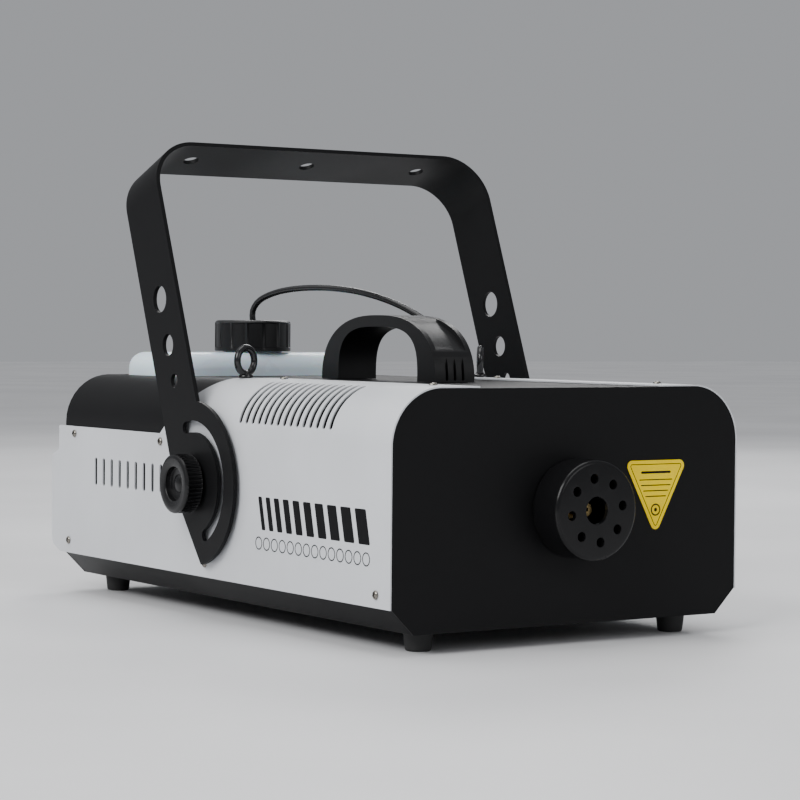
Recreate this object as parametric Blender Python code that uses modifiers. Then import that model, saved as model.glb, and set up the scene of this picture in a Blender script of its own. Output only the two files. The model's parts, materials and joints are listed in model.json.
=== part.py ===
"""A stage fog machine with a hanging yoke, as separate solids. Blender 4.5, metres, +Z up.

The outlet faces -Y. The origin is under the middle of the machine, on the plane that its feet stand on.
Places inside the body are given as (x, station, height): station is the distance behind the front
panel's face, height the distance above the body's underside, and at() turns them into the world's frame.
"""

import math

import bmesh
import bpy
from mathutils import Euler, Matrix, Vector

MM = 0.001

# Driving dimensions
BODY_WIDTH = 290 * MM
BODY_LENGTH = 475 * MM
BODY_HEIGHT = 160 * MM
CHAMFER = 17 * MM
SHOULDER_RADIUS = 39 * MM
FOOT_HEIGHT = 13.6 * MM
NOZZLE_LENGTH = 28 * MM
TAB_LENGTH = 22 * MM
SHEET = 1.2 * MM
COVER_SHEET = 1 * MM
GAP = 0.3 * MM
PIVOT_STATION = 251.4 * MM
PIVOT_HEIGHT = 84.5 * MM
YOKE_LEAN = math.radians(21.3)
YOKE_REACH = 259.5 * MM
YOKE_WIDTH = 52 * MM
YOKE_SHEET = 3 * MM
YOKE_INNER_X = 148 * MM
YOKE_BEND_RADIUS = 37 * MM

# Derived datums
HALF = BODY_WIDTH / 2
OVERALL_LENGTH = NOZZLE_LENGTH + BODY_LENGTH + TAB_LENGTH
FRONT = -OVERALL_LENGTH / 2 + NOZZLE_LENGTH
INNER_HALF = HALF - COVER_SHEET - GAP
INNER_RADIUS = SHOULDER_RADIUS - COVER_SHEET - GAP
DECK = BODY_HEIGHT - COVER_SHEET - GAP
PANEL_SHEET = 1.5 * MM

COLOURS = {
    "white_paint": ((0.78, 0.79, 0.81), 0.45, 0.0),
    "black_paint": ((0.012, 0.012, 0.013), 0.5, 0.0),
    "black_plastic": ((0.015, 0.015, 0.016), 0.4, 0.0),
    "rubber": ((0.02, 0.02, 0.02), 0.8, 0.0),
    "natural_hdpe": ((0.72, 0.77, 0.85), 0.35, 0.0),
    "bright_steel": ((0.6, 0.58, 0.55), 0.3, 1.0),
    "black_steel": ((0.01, 0.01, 0.01), 0.3, 1.0),
    "aluminium": ((0.55, 0.55, 0.56), 0.45, 1.0),
    "brass": ((0.6, 0.45, 0.2), 0.35, 1.0),
    "copper": ((0.7, 0.35, 0.2), 0.3, 1.0),
    "board_green": ((0.02, 0.16, 0.06), 0.5, 0.0),
    "yellow_film": ((0.85, 0.68, 0.06), 0.4, 0.0),
    "display_glass": ((0.02, 0.03, 0.05), 0.1, 0.0),
    "red_plastic": ((0.5, 0.02, 0.02), 0.3, 0.0),
}


# ---------------------------------------------------------------- scene and helpers


def clear_scene():
    for obj in list(bpy.data.objects):
        bpy.data.objects.remove(obj)


def make_collection(name):
    collection = bpy.data.collections.new(name)
    bpy.context.scene.collection.children.link(collection)
    return collection


def paint(name):
    """The material of that name, made the first time it is asked for."""
    if name in bpy.data.materials:
        return bpy.data.materials[name]
    colour, roughness, metallic = COLOURS[name]
    material = bpy.data.materials.new(name)
    material.use_nodes = True
    shader = material.node_tree.nodes["Principled BSDF"]
    shader.inputs["Base Color"].default_value = (*colour, 1)
    shader.inputs["Roughness"].default_value = roughness
    shader.inputs["Metallic"].default_value = metallic
    material.diffuse_color = (*colour, 1)
    return material


def at(x, station, height):
    return Vector((x, FRONT + station, FOOT_HEIGHT + height))


def add_part(name, mesh, material, smooth=False):
    part = bpy.data.objects.new(name, mesh)
    PARTS.objects.link(part)
    mesh.materials.clear()
    mesh.materials.append(paint(material))
    if smooth:
        mesh.shade_smooth()
        mesh.set_sharp_from_angle(angle=math.radians(35))
    return part


def as_cutter(part):
    """Takes a part out of the model, to be used by Booleans only."""
    PARTS.objects.unlink(part)
    CUTTERS.objects.link(part)
    part.hide_render = True
    part.display_type = "WIRE"
    return part


def combine(part, other, operation):
    boolean = part.modifiers.new(operation.lower(), "BOOLEAN")
    boolean.operation = operation
    boolean.object = as_cutter(other)
    boolean.solver = "EXACT"
    return part


def cut(part, *cutters):
    for cutter in cutters:
        combine(part, cutter, "DIFFERENCE")
    return part


def bevel(part, width, segments=2, angle=40):
    modifier = part.modifiers.new("edges", "BEVEL")
    modifier.width = width
    modifier.segments = segments
    modifier.limit_method = "ANGLE"
    modifier.angle_limit = math.radians(angle)
    return part


def box(name, low, high, material="black_plastic"):
    """A box between two corners given as (x, station, height)."""
    low, high = at(*low), at(*high)
    mesh = bpy.data.meshes.new(name)
    shape = bmesh.new()
    bmesh.ops.create_cube(shape, size=1)
    bmesh.ops.scale(shape, vec=high - low, verts=shape.verts)
    shape.to_mesh(mesh)
    shape.free()
    part = add_part(name, mesh, material)
    part.location = (low + high) / 2
    return part


AXIS_TURNS = {
    "X": Euler((0, math.pi / 2, 0)),
    "-X": Euler((0, -math.pi / 2, 0)),
    "Y": Euler((-math.pi / 2, 0, 0)),
    "-Y": Euler((math.pi / 2, 0, 0)),
    "Z": Euler((0, 0, 0)),
    "-Z": Euler((math.pi, 0, 0)),
}


def rod(name, base, axis, radius, length, material="bright_steel", sides=16, top_radius=None):
    """A cylinder or cone that starts at base and runs along an axis."""
    mesh = bpy.data.meshes.new(name)
    shape = bmesh.new()
    bmesh.ops.create_cone(
        shape,
        cap_ends=True,
        segments=sides,
        radius1=radius,
        radius2=radius if top_radius is None else top_radius,
        depth=length,
    )
    bmesh.ops.translate(shape, vec=(0, 0, length / 2), verts=shape.verts)
    shape.to_mesh(mesh)
    shape.free()
    part = add_part(name, mesh, material, smooth=True)
    part.location = at(*base)
    part.rotation_euler = AXIS_TURNS[axis]
    return part


def turned(name, base, axis, profile, material, steps=32, ring=False):
    """A profile of (radius, distance along the axis), spun by a Screw modifier. A ring's profile is closed."""
    mesh = bpy.data.meshes.new(name)
    shape = bmesh.new()
    points = [shape.verts.new((radius, 0, along)) for radius, along in profile]
    for first, second in zip(points, points[1:]):
        shape.edges.new((first, second))
    if ring:
        shape.edges.new((points[-1], points[0]))
    shape.to_mesh(mesh)
    shape.free()
    part = add_part(name, mesh, material)
    spin = part.modifiers.new("spin", "SCREW")
    spin.steps = steps
    spin.render_steps = steps
    spin.use_merge_vertices = True
    spin.merge_threshold = 0.00001
    spin.use_smooth_shade = False
    part.location = at(*base)
    part.rotation_euler = AXIS_TURNS[axis]
    return part


def outline_plate(name, loops, thickness, matrix, material):
    """A flat plate from closed loops of (u, v): the first is its edge and the rest are holes."""
    curve = bpy.data.curves.new(name, "CURVE")
    curve.dimensions = "2D"
    curve.fill_mode = "BOTH"
    curve.extrude = thickness / 2
    for loop in loops:
        spline = curve.splines.new("POLY")
        spline.points.add(len(loop) - 1)
        for point, (u, v) in zip(spline.points, loop):
            point.co = (u, v, 0, 1)
        spline.use_cyclic_u = True
    source = bpy.data.objects.new(name + "_curve", curve)
    source.matrix_world = matrix
    PARTS.objects.link(source)
    return mesh_from_curve(name, source, material)


def mesh_from_curve(name, source, material):
    """Turns a curve object into a welded mesh object in the same place."""
    bpy.context.view_layer.update()
    graph = bpy.context.evaluated_depsgraph_get()
    mesh = bpy.data.meshes.new_from_object(source.evaluated_get(graph))
    mesh.name = name
    shape = bmesh.new()
    shape.from_mesh(mesh)
    bmesh.ops.remove_doubles(shape, verts=shape.verts, dist=0.00001)
    bmesh.ops.recalc_face_normals(shape, faces=shape.faces)
    shape.to_mesh(mesh)
    shape.free()
    part = add_part(name, mesh, material)
    part.matrix_world = source.matrix_world
    bpy.data.objects.remove(source)
    return part


def facing_front(x, station, height):
    """Matrix that stands a plate's (u, v) up as (x, height), its middle plane at that station."""
    return Matrix.Translation(at(x, station, height)) @ Matrix.Rotation(math.pi / 2, 4, "X")


def facing_side(x, station, height):
    """Matrix that stands a plate's (u, v) up as (station, height), its middle plane at that x."""
    turn = Matrix(((0, 0, 1), (1, 0, 0), (0, 1, 0))).to_4x4()
    return Matrix.Translation(at(x, station, height)) @ turn


def arc(centre, radius, start, end, steps):
    """Points on an arc, from the start angle to the end angle in degrees."""
    angles = [math.radians(start + (end - start) * i / steps) for i in range(steps + 1)]
    return [(centre[0] + radius * math.cos(a), centre[1] + radius * math.sin(a)) for a in angles]


def circle(centre, radius, sides=16):
    return arc(centre, radius, 0, 360 * (sides - 1) / sides, sides - 1)


def rounded_rectangle(low, high, radius, steps=3):
    left, bottom, right, top = low[0] + radius, low[1] + radius, high[0] - radius, high[1] - radius
    return (
        arc((right, bottom), radius, -90, 0, steps)
        + arc((right, top), radius, 0, 90, steps)
        + arc((left, top), radius, 90, 180, steps)
        + arc((left, bottom), radius, 180, 270, steps)
    )


def bent_sheet(name, line, first_station, last_station, thickness, material, closed=False):
    """A line of (x, height) swept along the body as an open surface, thickened on its right-hand side."""
    mesh = bpy.data.meshes.new(name)
    shape = bmesh.new()
    points = [shape.verts.new((x, 0, height)) for x, height in line]
    for first, second in zip(points, points[1:]):
        shape.edges.new((first, second))
    if closed:
        shape.edges.new((points[-1], points[0]))
    swept = bmesh.ops.extrude_edge_only(shape, edges=shape.edges[:])
    moved = [v for v in swept["geom"] if isinstance(v, bmesh.types.BMVert)]
    bmesh.ops.translate(shape, vec=(0, last_station - first_station, 0), verts=moved)
    shape.to_mesh(mesh)
    shape.free()
    part = add_part(name, mesh, material)
    part.location = at(0, first_station, 0)
    solidify = part.modifiers.new("sheet", "SOLIDIFY")
    solidify.thickness = thickness
    solidify.offset = 1
    solidify.use_even_offset = True
    return part


def tube(name, points, radius, material, resolution=2):
    """A round wire or tube along points given as (x, station, height)."""
    curve = bpy.data.curves.new(name, "CURVE")
    curve.dimensions = "3D"
    curve.bevel_depth = radius
    curve.bevel_resolution = resolution
    curve.use_fill_caps = True
    spline = curve.splines.new("POLY")
    spline.points.add(len(points) - 1)
    for point, place in zip(spline.points, points):
        point.co = (*at(*place), 1)
    curve.materials.append(paint(material))
    part = bpy.data.objects.new(name, curve)
    PARTS.objects.link(part)
    return part


def smooth_route(points, spacing):
    """Points about one spacing apart on a smooth curve through the route's own points."""
    points = [Vector(p) for p in points]
    ends = [points[0] * 2 - points[1], *points, points[-1] * 2 - points[-2]]
    route = [points[0]]
    for before, start, end, after in zip(ends, ends[1:], ends[2:], ends[3:]):
        count = max(1, round((end - start).length / spacing))
        for i in range(1, count + 1):
            t = i / count
            route.append(
                0.5
                * (
                    2 * start
                    + (end - before) * t
                    + (2 * before - 5 * start + 4 * end - after) * t**2
                    + (3 * start - before - 3 * end + after) * t**3
                )
            )
    return route


def join(name, parts):
    """Makes several separate solids one node."""
    bpy.context.view_layer.update()
    graph = bpy.context.evaluated_depsgraph_get()
    shape = bmesh.new()
    material = parts[0].data.materials[0].name
    for part in parts:
        mesh = bpy.data.meshes.new_from_object(part.evaluated_get(graph))
        mesh.transform(part.matrix_world)
        shape.from_mesh(mesh)
        bpy.data.meshes.remove(mesh)
    for part in parts:
        bpy.data.objects.remove(part)
    bmesh.ops.remove_doubles(shape, verts=shape.verts, dist=0.000005)
    mesh = bpy.data.meshes.new(name)
    shape.to_mesh(mesh)
    shape.free()
    return add_part(name, mesh, material)


# ---------------------------------------------------------------- body sheets


def section_line(inset, low, radius):
    """The body's section from one side's low edge over the top to the other, as (x, height)."""
    half = HALF - inset
    top = BODY_HEIGHT - inset
    left = arc((-half + radius, top - radius), radius, 180, 90, 7)
    right = arc((half - radius, top - radius), radius, 90, 0, 7)
    return [(-half, low), *left, *right, (half, low)]


def panel_outline():
    """The end panels' outline: chamfered bottom corners, rounded shoulders."""
    low = [(INNER_HALF - CHAMFER, 0), (INNER_HALF, CHAMFER)]
    top = DECK - INNER_RADIUS
    shoulders = arc((INNER_HALF - INNER_RADIUS, top), INNER_RADIUS, 0, 90, 10)
    shoulders += arc((-INNER_HALF + INNER_RADIUS, top), INNER_RADIUS, 90, 180, 10)
    return [*low, *shoulders, (-INNER_HALF, CHAMFER), (-INNER_HALF + CHAMFER, 0)]


TRAY_FLANGE = 40 * MM
HOOD_LOW = TRAY_FLANGE + 1 * MM
INSIDE_FRONT = PANEL_SHEET + GAP
INSIDE_REAR = BODY_LENGTH - PANEL_SHEET - GAP


def base_tray():
    """The bottom with its 45 degree sides and the flanges that the side covers screw to."""
    line = [
        (INNER_HALF, TRAY_FLANGE),
        (INNER_HALF, CHAMFER),
        (INNER_HALF - CHAMFER, 0),
        (-INNER_HALF + CHAMFER, 0),
        (-INNER_HALF, CHAMFER),
        (-INNER_HALF, TRAY_FLANGE),
    ]
    return bent_sheet("base_tray", line, INSIDE_FRONT, INSIDE_REAR, SHEET, "black_paint")


NOZZLE_HEIGHT = 78 * MM
NOZZLE_RADIUS = 33.6 * MM


def front_panel():
    hole = circle((0, NOZZLE_HEIGHT), 24 * MM, 24)
    matrix = facing_front(0, PANEL_SHEET / 2, 0)
    return outline_plate("front_panel", [panel_outline(), hole], PANEL_SHEET, matrix, "black_paint")


TANK_LOW = Vector((-100 * MM, 393 * MM, 52 * MM))
TANK_HIGH = Vector((100 * MM, 461 * MM, 177 * MM))
WELL_MARGIN = 3.5 * MM
HANDLE_FRONT = 138 * MM
HANDLE_REAR = 292 * MM
HANDLE_HALF_WIDTH = 17 * MM
GROMMET = (50 * MM, 200 * MM)
EYE_X = 105 * MM
EYE_STATION = 255.5 * MM


def hood():
    """The black skin under the side covers: deck, rear shoulders and rear flanks."""
    line = section_line(COVER_SHEET + GAP, HOOD_LOW, INNER_RADIUS)
    part = bent_sheet("hood", line, INSIDE_FRONT, INSIDE_REAR, SHEET, "black_paint")
    well = TANK_LOW - Vector((WELL_MARGIN,) * 3), TANK_HIGH + Vector((WELL_MARGIN,) * 3)
    cutters = [box("hood_well_cutter", (well[0].x, well[0].y, DECK - 20 * MM), well[1])]
    cutters.append(rod("hood_grommet_cutter", (*GROMMET, DECK - 5 * MM), "Z", 5.2 * MM, 10 * MM, sides=16))
    for side in (-1, 1):
        inner, outer = sorted((side * 112 * MM, side * 160 * MM))
        windows = [((inner, 62 * MM, 124 * MM), (outer, 206 * MM, 152 * MM))]
        windows.append(((inner, 290 * MM, 70 * MM), (outer, 428 * MM, 99 * MM)))
        cutters += [box("hood_window_cutter", *window) for window in windows]
        pivot = (side * 130 * MM, PIVOT_STATION, PIVOT_HEIGHT)
        cutters.append(rod("hood_pivot_cutter", pivot, "X" if side > 0 else "-X", 5.5 * MM, 30 * MM))
        eye = (side * EYE_X, EYE_STATION, DECK - 5 * MM)
        cutters.append(rod("hood_eye_cutter", eye, "Z", 3.6 * MM, 10 * MM, sides=12))
    return cut(part, *cutters)


SLOT_RADIUS = 41 * MM
SLOT_WIDTH = 8.5 * MM
PLATE_RADIUS = 59.5 * MM
COVER_FLANGE_X = 76 * MM
COVER_SCREWS = [  # (station, height) on the flank
    (16.6 * MM, 25.6 * MM),
    (243 * MM, 27 * MM),
    (466 * MM, 27 * MM),
    (456 * MM, 112.2 * MM),
    (312 * MM, 112 * MM),
]
TOP_SCREWS = [27 * MM, 218 * MM]
TOP_SCREW_X = 94.7 * MM
SHOULDER_VENTS = [75.3 * MM + 8.56 * MM * i for i in range(15)]
REAR_VENTS = [418.5 * MM - 13.4 * MM * i for i in range(10)]
VENT_WIDTH = 4.2 * MM


def cover_silhouette():
    """The side cover seen from the side, as (station, height): full height in front, low behind, and
    a rounded tab past the rear panel that guards the sockets."""
    rear = BODY_LENGTH + 9.5 * MM
    tab = BODY_LENGTH + TAB_LENGTH
    above = BODY_HEIGHT + 5 * MM
    low = CHAMFER - 1 * MM
    points = [(-1 * MM, low), (rear - 2.5 * MM, low), (rear - 2.5 * MM, CHAMFER)]
    points += arc((tab - 10 * MM, CHAMFER + 12 * MM), 10 * MM, -60, 0, 4)
    points += arc((tab - 8 * MM, 88 * MM), 8 * MM, 0, 50, 3)
    points += [(rear + 1 * MM, 97.5 * MM), (rear, 100 * MM), (rear, 118 * MM), (313 * MM, 118 * MM)]
    return [*points, (262 * MM, BODY_HEIGHT), (262 * MM, above), (-1 * MM, above)]


def side_cover(name, side):
    """A white cover: flank, rounded shoulder and a narrow flange on the deck."""
    half = section_line(0, CHAMFER, SHOULDER_RADIUS)
    flank = [p for p in half if p[0] < 0]
    line = [*flank, (-COVER_FLANGE_X, BODY_HEIGHT)]
    if side > 0:
        line = [(-x, height) for x, height in reversed(line)]
    part = bent_sheet(name, line, 0, BODY_LENGTH + TAB_LENGTH, COVER_SHEET, "white_paint")
    keep = outline_plate(
        name + "_keep", [cover_silhouette()], 100 * MM, facing_side(side * 115 * MM, 0, 0), "white_paint"
    )
    combine(part, keep, "INTERSECT")
    cutters = []
    for station in SHOULDER_VENTS:
        xs = sorted((side * 117 * MM, side * 155 * MM))
        low = (xs[0], station - VENT_WIDTH / 2, 129 * MM)
        cutters.append(box("shoulder_vent_cutter", low, (xs[1], station + VENT_WIDTH / 2, 170 * MM)))
    for station in REAR_VENTS:
        xs = sorted((side * 135 * MM, side * 155 * MM))
        low = (xs[0], station - VENT_WIDTH / 2, 73.5 * MM)
        cutters.append(box("rear_vent_cutter", low, (xs[1], station + VENT_WIDTH / 2, 95 * MM)))
    axis = "X" if side > 0 else "-X"
    for station, height in COVER_SCREWS:
        cutters.append(rod("screw_cutter", (side * 135 * MM, station, height), axis, 2.2 * MM, 20 * MM, sides=8))
    for station in TOP_SCREWS:
        base = (side * TOP_SCREW_X, station, 150 * MM)
        cutters.append(rod("screw_cutter", base, "Z", 2.2 * MM, 20 * MM, sides=8))
    pivot = (side * 135 * MM, PIVOT_STATION, PIVOT_HEIGHT)
    cutters.append(rod("pivot_cutter", pivot, axis, 5.5 * MM, 20 * MM))
    cutters.append(rod("eye_cutter", (side * EYE_X, EYE_STATION, 150 * MM), "Z", 3.6 * MM, 20 * MM, sides=12))
    merged = join(name + "_cutters", cutters)
    return cut(part, merged)


def pan_screw(name, base, axis, head=3.1 * MM):
    """A pan head over a short shank; base is the point on the surface under the head."""
    profile = [
        (0, 1.9 * MM),
        (head * 0.5, 1.75 * MM),
        (head * 0.88, 1.1 * MM),
        (head, GAP),
        (1.7 * MM, GAP),
        (1.7 * MM, -0.9 * MM),
        (0, -0.9 * MM),
    ]
    return turned(name, base, axis, profile, "bright_steel", steps=10)


def cover_screws():
    """The screws that hold each side cover at its low corners and the front of its flange."""
    for side, axis, name in ((-1, "-X", "left"), (1, "X", "right")):
        for (station, height), place in zip(COVER_SCREWS[0:3:2], ("front", "rear")):
            pan_screw(f"cover_screw_{name}_{place}", (side * HALF, station, height), axis)
        pan_screw(f"flange_screw_{name}", (side * TOP_SCREW_X, TOP_SCREWS[0], BODY_HEIGHT), "Z")


# ---------------------------------------------------------------- feet, handle, eye bolts

FOOT_X = 106.6 * MM
FOOT_STATIONS = {"front": 24.5 * MM, "rear": 455 * MM}


def feet():
    """Four tapered rubber feet."""
    for row, station in FOOT_STATIONS.items():
        for side, sign in (("left", -1), ("right", 1)):
            height = FOOT_HEIGHT - GAP
            profile = [(0, height), (10 * MM, height), (8.8 * MM, 1 * MM), (8.2 * MM, 0), (0, 0)]
            base = (sign * FOOT_X, station, -FOOT_HEIGHT)
            turned(f"foot_{row}_{side}", base, "Z", profile, "rubber", steps=20)


HANDLE_TOP = 48 * MM
HANDLE_BASE = DECK + GAP


def carry_handle():
    """A one-piece arch with two thick ends, cut from its side outline and rounded along its edges."""
    middle = (HANDLE_FRONT + HANDLE_REAR) / 2
    half = (HANDLE_REAR - HANDLE_FRONT) / 2
    rise = HANDLE_TOP
    outer = []
    for i in range(21):
        angle = math.radians(180 * i / 20)
        u = math.copysign(abs(math.cos(angle)) ** 0.8, math.cos(angle))
        v = math.sin(angle) ** 0.85
        outer.append((middle + half * u, HANDLE_BASE + rise * v))
    inner_half = half - 23.5 * MM
    inner_rise = rise - 8.5 * MM
    inner = []
    for i in range(17):
        angle = math.radians(180 - 180 * i / 16)
        u = math.copysign(abs(math.cos(angle)) ** 0.62, math.cos(angle))
        v = math.sin(angle) ** 0.6
        inner.append((middle + inner_half * u, HANDLE_BASE + inner_rise * v))
    matrix = facing_side(0, 0, 0)
    return outline_plate("carry_handle", [outer + inner], 2 * HANDLE_HALF_WIDTH, matrix, "black_plastic")


EYE_RING_RADIUS = 9.5 * MM
EYE_WIRE = 2.5 * MM
EYE_TURNS = {-1: math.radians(20), 1: math.radians(56)}  # how far each ring is screwed round


def eye_bolt(name, side):
    """A safety eye: a ring that stands across the machine, its collar on the cover, its shank below."""
    mesh = bpy.data.meshes.new(name)
    bpy.ops.mesh.primitive_torus_add(
        major_segments=20, minor_segments=8, major_radius=EYE_RING_RADIUS, minor_radius=EYE_WIRE
    )
    ring = bpy.context.active_object
    mesh = ring.data
    bpy.data.objects.remove(ring)
    part = add_part(name, mesh, "black_steel")
    part.rotation_euler = (math.pi / 2, 0, EYE_TURNS[side])
    base = (side * EYE_X, EYE_STATION, BODY_HEIGHT)
    part.location = at(*base) + Vector((0, 0, EYE_RING_RADIUS + EYE_WIRE + 0.8 * MM))
    profile = [
        (0, 4 * MM),
        (3 * MM, 4 * MM),
        (5.4 * MM, 2 * MM),
        (5.4 * MM, GAP),
        (3 * MM, GAP),
        (3 * MM, -13 * MM),
        (0, -13 * MM),
    ]
    stem = turned(name + "_stem", base, "Z", profile, "black_steel", steps=12)
    return combine(part, stem, "UNION")


# ---------------------------------------------------------------- outlet and heater


def nozzle_cover():
    """The cup round the outlet: a barrel and a front disc with one large and eight small holes."""
    depth = NOZZLE_LENGTH
    wall = 2.2 * MM
    face = 3.5 * MM
    profile = [
        (9 * MM, depth),
        (31.8 * MM, depth),
        (33.1 * MM, depth - 0.6 * MM),
        (NOZZLE_RADIUS, depth - 1.9 * MM),
        (NOZZLE_RADIUS, 1.5 * MM),
        (33.1 * MM, GAP),
        (NOZZLE_RADIUS - wall, GAP),
        (NOZZLE_RADIUS - wall, depth - face),
        (9 * MM, depth - face),
    ]
    part = turned(
        "nozzle_cover", (0, 0, NOZZLE_HEIGHT), "-Y", profile, "black_paint", steps=40, ring=True
    )
    cutters = []
    for i in range(8):
        angle = math.radians(7.5 + 45 * i)
        place = (21.3 * MM * math.cos(angle), -depth - 5 * MM, NOZZLE_HEIGHT + 21.3 * MM * math.sin(angle))
        cutters.append(rod("nozzle_hole_cutter", place, "Y", 3.4 * MM, 15 * MM, sides=10))
    return cut(part, join("nozzle_holes", cutters))


HEATER_LOW = Vector((-34 * MM, 46 * MM, 50 * MM))
HEATER_HIGH = Vector((34 * MM, 232 * MM, 104 * MM))


def nozzle_tip():
    """The brass jet screwed into the heater, ending just behind the cover's large hole."""
    front = -16 * MM
    length = HEATER_LOW.y - GAP - front
    profile = [
        (1.5 * MM, length),
        (7 * MM, length),
        (7 * MM, 14 * MM),
        (5.5 * MM, 14 * MM),
        (5.5 * MM, 1 * MM),
        (4.5 * MM, 0),
        (1.5 * MM, 0),
    ]
    return turned("nozzle_tip", (0, front, NOZZLE_HEIGHT), "Y", profile, "brass", steps=16, ring=True)


def heater():
    """The heat exchanger, its shield, its stands and its thermostat."""
    block = box("heater_block", HEATER_LOW, HEATER_HIGH, "aluminium")
    bevel(block, 5 * MM)
    gap = 9 * MM
    low = HEATER_LOW - Vector((gap, -6 * MM, 0))
    high = HEATER_HIGH + Vector((gap, -6 * MM, gap))
    foot = 16 * MM
    line = [
        (low.x - foot, SHEET + GAP),
        (low.x, SHEET + GAP),
        (low.x, high.z),
        (high.x, high.z),
        (high.x, SHEET + GAP),
        (high.x + foot, SHEET + GAP),
    ]
    bent_sheet("heat_shield", [(x, h + MM) for x, h in line], low.y, high.y, 1 * MM, "bright_steel")
    top = HEATER_LOW.z - GAP
    stand = box("heater_stand", (-28 * MM, 76 * MM, SHEET + GAP), (28 * MM, 214 * MM, top), "bright_steel")
    cut(stand, box("stand_cutter", (-26 * MM, 70 * MM, SHEET + 3 * MM), (26 * MM, 220 * MM, top - 2 * MM)))
    rod("thermostat", (0, 180 * MM, HEATER_HIGH.z + GAP), "Z", 8 * MM, 5 * MM, "black_plastic", sides=16)


# ---------------------------------------------------------------- tank, hose and pump

TANK_WALL = 2.2 * MM
CAP_X = 0
CAP_STATION = 427 * MM
NECK_RADIUS = 24 * MM
NECK_TOP = 198 * MM
CAP_LOW = 178 * MM
CAP_TOP = 203 * MM
CAP_RADIUS = 30.8 * MM


def tank():
    """A blow-moulded bottle with a round neck, hollow, its mouth under the cap."""
    part = box("fluid_tank", TANK_LOW, TANK_HIGH, "natural_hdpe")
    bevel(part, 14 * MM, segments=2)
    neck = (CAP_X, CAP_STATION, TANK_HIGH.z - 6 * MM)
    combine(part, rod("tank_neck", neck, "Z", NECK_RADIUS, NECK_TOP - neck[2], sides=28), "UNION")
    wall = Vector((TANK_WALL,) * 3)
    hollow = box("tank_hollow", TANK_LOW + wall, TANK_HIGH - wall)
    bevel(hollow, 10 * MM, segments=1)
    mouth = (CAP_X, CAP_STATION, TANK_HIGH.z - 10 * MM)
    bore = rod("tank_bore", mouth, "Z", NECK_RADIUS - TANK_WALL, 60 * MM, sides=28)
    return cut(part, hollow, bore)


def tank_well():
    """The liner that the tank stands in: four walls and a floor, hung in the hood's opening."""
    margin = WELL_MARGIN - GAP
    low = (TANK_LOW.x - margin, TANK_LOW.y - margin, TANK_LOW.z - 2 * MM)
    high = (TANK_HIGH.x + margin, TANK_HIGH.y + margin, DECK)
    wall = 1.2 * MM
    part = box("tank_well", low, high, "black_paint")
    inner_low = (low[0] + wall, low[1] + wall, low[2] + wall)
    inner_high = (high[0] - wall, high[1] - wall, high[2] + 20 * MM)
    return cut(part, box("well_cutter", inner_low, inner_high))


def tank_cap():
    """A screw cap whose centre hole passes the hose."""
    profile = [
        (4.5 * MM, CAP_TOP - CAP_LOW),
        (CAP_RADIUS - 1.5 * MM, CAP_TOP - CAP_LOW),
        (CAP_RADIUS, CAP_TOP - CAP_LOW - 1.5 * MM),
        (CAP_RADIUS, 0),
        (25 * MM, 0),
        (25 * MM, CAP_TOP - CAP_LOW - 3 * MM),
        (4.5 * MM, CAP_TOP - CAP_LOW - 3 * MM),
    ]
    cap = turned("tank_cap", (CAP_X, CAP_STATION, CAP_LOW), "Z", profile, "black_plastic", ring=True)
    return cap


HOSE_RADIUS = 2.5 * MM
PUMP = Vector((92 * MM, 238 * MM, 44 * MM))
PUMP_LENGTH = 58 * MM
HOSE_ROUTE = [  # (x, station, height), from the filter in the tank to the pump's inlet
    (CAP_X, CAP_STATION, 74 * MM),
    (CAP_X, CAP_STATION, 110 * MM),
    (CAP_X, CAP_STATION, 150 * MM),
    (CAP_X, CAP_STATION, 186 * MM),
    (CAP_X, CAP_STATION, 202 * MM),
    (-0.3 * MM, 426.5 * MM, 211 * MM),
    (1.5 * MM, 418 * MM, 219.5 * MM),
    (5 * MM, 398 * MM, 225.5 * MM),
    (9.5 * MM, 370 * MM, 228.5 * MM),
    (15 * MM, 334 * MM, 228.5 * MM),
    (23 * MM, 300 * MM, 225 * MM),
    (32 * MM, 266 * MM, 216.5 * MM),
    (39.5 * MM, 237 * MM, 204 * MM),
    (45.5 * MM, 215 * MM, 188 * MM),
    (49.3 * MM, 203 * MM, 172 * MM),
    (*GROMMET, 159 * MM),
    (51.5 * MM, 199 * MM, 145 * MM),
    (58 * MM, 199 * MM, 122 * MM),
    (68 * MM, 201 * MM, 96 * MM),
    (79 * MM, 205 * MM, 68 * MM),
    (88 * MM, 213 * MM, 49 * MM),
    (PUMP.x, PUMP.y - 12 * MM, PUMP.z),
]
HOSE_SPACING = 9 * MM


def hose_and_fittings():
    """The suction hose, whole: filter, cap, arch over the tank, deck grommet, pump inlet."""
    tube("suction_hose", smooth_route(HOSE_ROUTE, HOSE_SPACING), HOSE_RADIUS, "black_plastic")
    bottom = HOSE_ROUTE[0][2]
    filter_low = TANK_LOW.z + TANK_WALL + 1 * MM
    rod(
        "suction_filter", (CAP_X, CAP_STATION, filter_low), "Z", 7 * MM, bottom - GAP - filter_low, "brass", sides=14
    )
    profile = [
        (3.6 * MM, DECK + 2.2 * MM),
        (6 * MM, DECK + 2.2 * MM),
        (7.5 * MM, DECK + 1 * MM),
        (7.5 * MM, DECK + GAP),
        (4.9 * MM, DECK + GAP),
        (4.9 * MM, DECK - SHEET - 1 * MM),
        (3.6 * MM, DECK - SHEET - 1 * MM),
    ]
    turned("hose_grommet", (*GROMMET, 0), "Z", profile, "rubber", steps=20, ring=True)


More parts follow.
